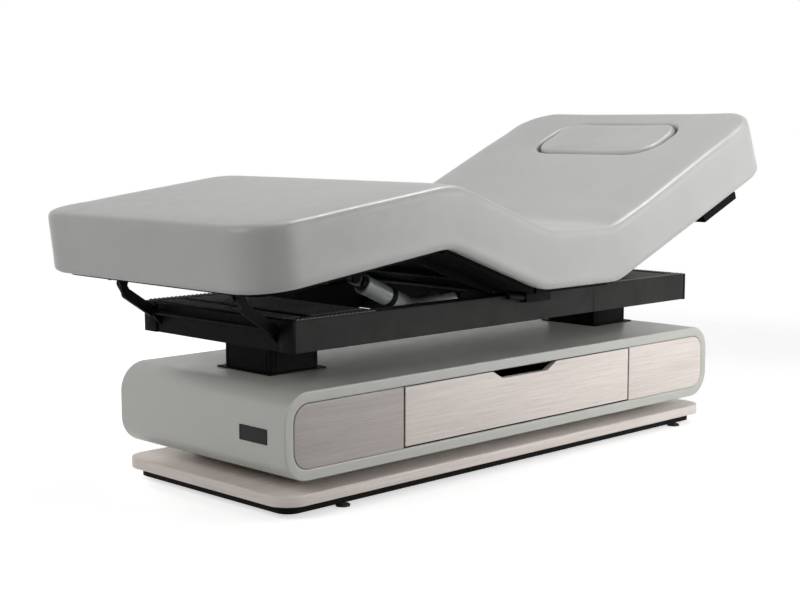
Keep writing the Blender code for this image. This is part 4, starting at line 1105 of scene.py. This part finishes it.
class SPA_OT_plinth(bpy.types.Operator):
    """Veneered plinth board and its edge band"""
    bl_idname = "spa.plinth"
    bl_label = "Plinth"

    def execute(self, context):
        outline = rounded_outline(-CABINET_HALF + OFFSET, FRONT_Y, CABINET_HALF + OFFSET, -FRONT_Y,
                                  [PLINTH_CORNER] * 4, 16)
        out = outward(outline)
        piece = slab("plinth", outline - out * BANDING, *PLINTH_Z, 0.0015, material("ash_veneer"), 'Z')
        finish(piece, "base", "ash_veneer", "plinth_board")
        section = rounded_outline(0, PLINTH_Z[0] + 0.0012, BANDING + 0.0002, PLINTH_Z[1] - 0.0008,
                                  [0.0003] * 4, 2)
        rings = [upright(outline - out * inset, height, 'Z') for inset, height in section]
        band = surface("plinth_banding", rings, material("edge_banding"), wrap=True)
        finish(band, "base", "ash_veneer")
        return {'FINISHED'}


class SPA_OT_name_plate(bpy.types.Operator):
    """Bare black plate with a raised rim on the foot end of the cabinet"""
    bl_idname = "spa.name_plate"
    bl_label = "Name plate"

    def execute(self, context):
        x = -CABINET_HALF + OFFSET
        outline = rounded_outline(PLATE_Y[0], PLATE_Z[0], PLATE_Y[1], PLATE_Z[1], [0] * 4)
        out = outward(outline)
        rings = [upright(outline - out * inset, x - depth, 'X') for inset, depth in PLATE_RIM]
        piece = surface("bare_plate", rings, material("black_housing"))
        finish(piece, "base", "black_housing")
        return {'FINISHED'}


def embossed_sheet(name, x0, x1, y0, y1, low):
    """A thin sheet with a top of square pyramids, its edges drawn in to whole steps.

    The pyramids stand TOOTH_HEIGHT * min(tri(x / TOOTH_PITCH), tri(y / TOOTH_PITCH)) high, tri being a
    triangle wave between 0 and 1.
    """
    x, y = [np.arange(math.ceil(first / TOOTH_STEP), math.floor(last / TOOTH_STEP) + 1) * TOOTH_STEP
            for first, last in ((x0, x1), (y0, y1))]
    along, across = np.meshgrid(x, y, indexing='ij')

    def wave(value):
        """Triangle wave of the given pitch."""
        return 1 - np.abs(2 * (value / TOOTH_PITCH - np.floor(value / TOOTH_PITCH)) - 1)

    top = low + SHEET_THICK + TOOTH_HEIGHT * np.minimum(wave(along), wave(across))
    upper = np.stack((along, across, top), -1).reshape(-1, 3)
    lower = np.stack((along, across, np.full_like(top, low)), -1).reshape(-1, 3)
    index = np.arange(along.size).reshape(along.shape)
    quads = np.stack((index[:-1, :-1], index[1:, :-1], index[1:, 1:], index[:-1, 1:]), -1).reshape(-1, 4)
    rim = np.concatenate((index[0, :-1], index[:-1, -1], index[-1, :0:-1], index[:0:-1, 0]))
    after = np.roll(rim, -1)
    walls = np.stack((rim, after, after + along.size, rim + along.size), -1)
    mesh = bpy.data.meshes.new(name)
    mesh.from_pydata(np.vstack((upper, lower)).tolist(), [],
                     np.vstack((quads, quads[:, ::-1] + along.size, walls)).tolist())
    # The sheets' lighter colour is painted light for the shade under the cushion
    return finish_mesh(name, mesh, material("embossed_sheet"), 20)


class SPA_OT_frame_trim(bpy.types.Operator):
    """Caps on the beams' ends and embossed sheets over both ends of the frame"""
    bl_idname = "spa.frame_trim"
    bl_label = "Frame trim"

    def execute(self, context):
        for side, name in ((-1, "near"), (1, "far")):
            y = sorted((side * (BEAM_Y[0] - CAP_OVER), side * (BEAM_Y[1] + CAP_OVER)))
            for at, inward, end in ((BEAM_X[0], 1, "foot"), (BEAM_X[1], -1, "head")):
                x = sorted((at - inward * CAP_OVER, at + inward * CAP_LENGTH))
                low, high = (x[0], y[0], BEAM_Z[0] - CAP_OVER), (x[1], y[1], BEAM_Z[1] + CAP_RISE)
                coat = material("black_powder_coat")
                cap = block("beam_cap_%s_%s" % (end, name), low, high, 0.0012, coat, 'X')
                finish(cap, "lift", "black_powder_coat")
        for name, spans, rail in SHEETS:
            inner, outer = rail[0] - SHEET_CLEAR, rail[1] + SHEET_CLEAR
            ends = (spans[0][0], spans[-1][1])
            side = BEAM_Y[1] - 0.0008
            patches = [(*span, -inner, inner) for span in spans]
            patches += [(*ends, outer, side), (*ends, -side, -outer)]
            low = BEAM_Z[1] + 0.0001
            sheet = join("embossed_sheet_" + name,
                         [embossed_sheet("patch", *patch, low) for patch in patches])
            finish(sheet, "lift", "black_powder_coat")
        return {'FINISHED'}


class SPA_OT_cable_block(bpy.types.Operator):
    """Small cable block and ribbed conduit on the near beam under the seat, and the beam's seam

    The conduit's radius is a cosine along its length, CONDUIT_RIB giving its height and its pitch.
    """
    bl_idname = "spa.cable_block"
    bl_label = "Cable block"

    def execute(self, context):
        face = -BEAM_Y[1] - 0.0004
        low, high = (CABLE_X[0], face - CABLE_DEPTH, CABLE_Z[0]), (CABLE_X[1], face, CABLE_Z[1])
        piece = block("cable_block", low, high, 0.003, material("black_powder_coat"), 'Y')
        finish(piece, "lift", "black_powder_coat")
        at = np.linspace(0, CONDUIT_LENGTH, 81)
        rib, pitch = CONDUIT_RIB
        radius = CONDUIT_RADIUS + rib * np.cos(2 * np.pi * at / pitch)
        start = (CABLE_X[0] + 0.003, face - CABLE_DEPTH / 2, CONDUIT_Z)
        direction = (-math.cos(CONDUIT_TILT), 0, math.sin(CONDUIT_TILT))
        profile = np.stack((radius, at), 1)
        conduit = lathe("conduit", profile, start, direction, material("black_housing"), 28, 60)
        finish(conduit, "lift", "black_housing")
        low = (BEAM_SEAM - 0.0012, face - 0.0003, BEAM_Z[0] + 0.001)
        high = (BEAM_SEAM + 0.0012, face + 0.0002, BEAM_Z[1] - 0.001)
        # The seam strip takes the beams' lighter coat, which is painted light
        strip = block("beam_seam", low, high, 0.0002, material("beam_coat"), 'Y')
        finish(strip, "lift", "black_powder_coat")
        return {'FINISHED'}


class SPA_OT_actuator_trim(bpy.types.Operator):
    """Strap and end rim round the leg actuator's motor"""
    bl_idname = "spa.actuator_trim"
    bl_label = "Actuator trim"

    def execute(self, context):
        edge = 0.0008
        for name, at, width, over, slot in MOTOR_RINGS:
            low, high = MOTOR_RADIUS + 0.0002, MOTOR_RADIUS + over
            end = at + width
            section = ((low, at), (high - edge, at), (high, at + edge), (high, end - edge),
                       (high - edge, end), (low, end))
            ring = lathe(name, section, LEG_MOTOR_PIN, LEG_MOTOR_AXIS, material(slot), 64, wrap=True)
            finish(ring, "leg_motor", slot)
        return {'FINISHED'}


class SPA_OT_solids(bpy.types.Operator):
    """Finishes for the frame's own solids"""
    bl_idname = "spa.solids"
    bl_label = "Solids"

    def execute(self, context):
        # The long beams take a lighter copy of the black coat: painted light for their lit faces
        other = {"frame_beam_near": "beam_coat", "frame_beam_far": "beam_coat",
                 # The hinge shafts take the darkened steel: painted shade
                 "thigh_hinge_shaft": "dark_steel", "back_hinge_shaft": "dark_steel",
                 "knee_hinge_shaft": "dark_steel"}
        for part in frame["record"]["subparts"]:
            node = frame["nodes"][part["node"]]
            node.data.materials.clear()
            node.data.materials.append(material(other.get(part["node"], part["material_slot"])))
        return {'FINISHED'}


def area_light(name, power, size, place, target):
    """A rectangular lamp that faces a point, its upper side kept level."""
    data = bpy.data.lights.new(name, 'AREA')
    data.energy = power
    data.shape = 'RECTANGLE'
    data.size, data.size_y = size
    light = placed(name, data)
    light.location = place
    direction = np.array(target) - np.array(place)
    flat = math.hypot(direction[0], direction[1])
    light.rotation_euler = (math.atan2(flat, -direction[2]), 0, math.atan2(-direction[0], direction[1]))
    return light


def mixed_shader(nodes, links, factor, first, second):
    """Two shaders mixed by a factor."""
    mix = nodes.new('ShaderNodeMixShader')
    for value, socket in ((factor, 0), (first, 1), (second, 2)):
        links.new(value, mix.inputs[socket])
    return mix.outputs[0]


def stage_world(ambient):
    """White to the eye and in reflections, a soft even light elsewhere."""
    world = bpy.data.worlds.new("studio")
    bpy.context.scene.world = world
    world.use_nodes = True
    nodes, links = world.node_tree.nodes, world.node_tree.links
    seen = nodes["Background"]
    seen.inputs["Color"].default_value = (1, 1, 1, 1)
    seen.inputs["Strength"].default_value = 1.0
    light = nodes.new('ShaderNodeBackground')
    light.inputs["Color"].default_value = (1, 1, 1, 1)
    light.inputs["Strength"].default_value = ambient
    mix = mixed_shader(nodes, links, seen_ray(nodes, links), light.outputs[0], seen.outputs[0])
    links.new(mix, nodes["World Output"].inputs["Surface"])


def seen_ray(nodes, links):
    """1 for rays from the camera, off mirrors or through glass, else 0."""
    path = nodes.new('ShaderNodeLightPath')
    total = path.outputs["Is Camera Ray"]
    for name in ("Is Glossy Ray", "Is Transmission Ray"):
        add = nodes.new('ShaderNodeMath')
        add.operation = 'MAXIMUM'
        links.new(total, add.inputs[0])
        links.new(path.outputs[name], add.inputs[1])
        total = add.outputs[0]
    return total


def floor_material():
    """White floor that keeps the shadow and fades into the white background."""
    mat = bpy.data.materials.new("white_floor")
    mat.use_nodes = True
    nodes, links = mat.node_tree.nodes, mat.node_tree.links
    nodes.remove(nodes["Principled BSDF"])
    diffuse = nodes.new('ShaderNodeBsdfDiffuse')
    diffuse.inputs["Color"].default_value = (*FLOOR_COLOUR, 1)
    glow = nodes.new('ShaderNodeEmission')
    glow.inputs["Strength"].default_value = FLOOR_GLOW
    lit = nodes.new('ShaderNodeAddShader')
    links.new(diffuse.outputs[0], lit.inputs[0])
    links.new(glow.outputs[0], lit.inputs[1])
    seen = mixed_shader(nodes, links, seen_ray(nodes, links), diffuse.outputs[0], lit.outputs[0])
    place = nodes.new('ShaderNodeTexCoord')
    length = nodes.new('ShaderNodeVectorMath')
    length.operation = 'LENGTH'
    links.new(place.outputs["Object"], length.inputs[0])
    fade = nodes.new('ShaderNodeMapRange')
    fade.inputs["From Min"].default_value, fade.inputs["From Max"].default_value = FLOOR_FADE
    links.new(length.outputs["Value"], fade.inputs["Value"])
    clear = nodes.new('ShaderNodeBsdfTransparent')
    mix = mixed_shader(nodes, links, fade.outputs["Result"], seen, clear.outputs[0])
    links.new(mix, nodes["Material Output"].inputs["Surface"])
    return mat


class SPA_OT_stage(bpy.types.Operator):
    """White floor, soft studio light and the camera"""
    bl_idname = "spa.stage"
    bl_label = "Stage"

    def execute(self, context):
        scene = context.scene
        settings = scene.spa_stage
        angle = np.linspace(0, 2 * np.pi, 64, endpoint=False)
        circle = np.stack((np.cos(angle), np.sin(angle)), 1)
        mesh = bpy.data.meshes.new("floor")
        points = upright(circle * FLOOR_RADIUS, 0.0, 'Z')
        mesh.from_pydata(points.tolist(), [], [list(range(64))])
        floor = placed("floor", mesh)
        mesh.materials.append(floor_material())
        stage_world(settings.ambient)
        for name, size, place, target in LAMPS:
            lamp = area_light(name + "_light", getattr(settings, name), size, place, target)
            lamp.visible_glossy = name != "far"
            lamp.visible_diffuse = name != "glint"
        data = bpy.data.cameras.new("camera")
        data.lens = CAMERA_LENS
        data.sensor_width = 36.0
        camera = placed("camera", data)
        camera.location = CAMERA_PLACE
        camera.rotation_euler = CAMERA_TURN
        scene.camera = camera
        scene.view_settings.view_transform = 'Standard'
        return {'FINISHED'}


class SPA_PT_panel(bpy.types.Panel):
    """Sizes, colours and build steps of the spa table"""
    bl_idname = "SPA_PT_panel"
    bl_label = "Spa Table"
    bl_space_type = 'VIEW_3D'
    bl_region_type = 'UI'
    bl_category = "Spa Table"

    def draw(self, context):
        layout = self.layout
        for name in GROUPS:
            column = layout.column(align=True)
            settings = getattr(context.scene, name)
            for key in settings.__annotations__:
                column.prop(settings, key)
        for operator in OPERATORS:
            layout.operator(operator.bl_idname)


GROUPS = {"spa_upholstery": UpholsterySettings, "spa_cabinet": CabinetSettings,
          "spa_steel": SteelSettings, "spa_stage": StageSettings}
OPERATORS = (SPA_OT_stage, SPA_OT_solids, SPA_OT_cushion, SPA_OT_face_cushion, SPA_OT_cabinet,
             SPA_OT_panels, SPA_OT_drawer, SPA_OT_plinth, SPA_OT_name_plate, SPA_OT_frame_trim,
             SPA_OT_actuator_trim, SPA_OT_cable_block)


def register():
    """Adds the settings, operators and panel to the program."""
    for cls in (*GROUPS.values(), *OPERATORS, SPA_PT_panel):
        bpy.utils.register_class(cls)
    for name, cls in GROUPS.items():
        setattr(bpy.types.Scene, name, PointerProperty(type=cls))


def unregister():
    """Takes them out again."""
    for name in GROUPS:
        delattr(bpy.types.Scene, name)
    for cls in reversed((*GROUPS.values(), *OPERATORS, SPA_PT_panel)):
        bpy.utils.unregister_class(cls)


def main():
    """Builds every piece in order."""
    register()
    for operator in OPERATORS:
        group, name = operator.bl_idname.split(".")
        getattr(getattr(bpy.ops, group), name)()


if __name__ == "__main__":
    main()
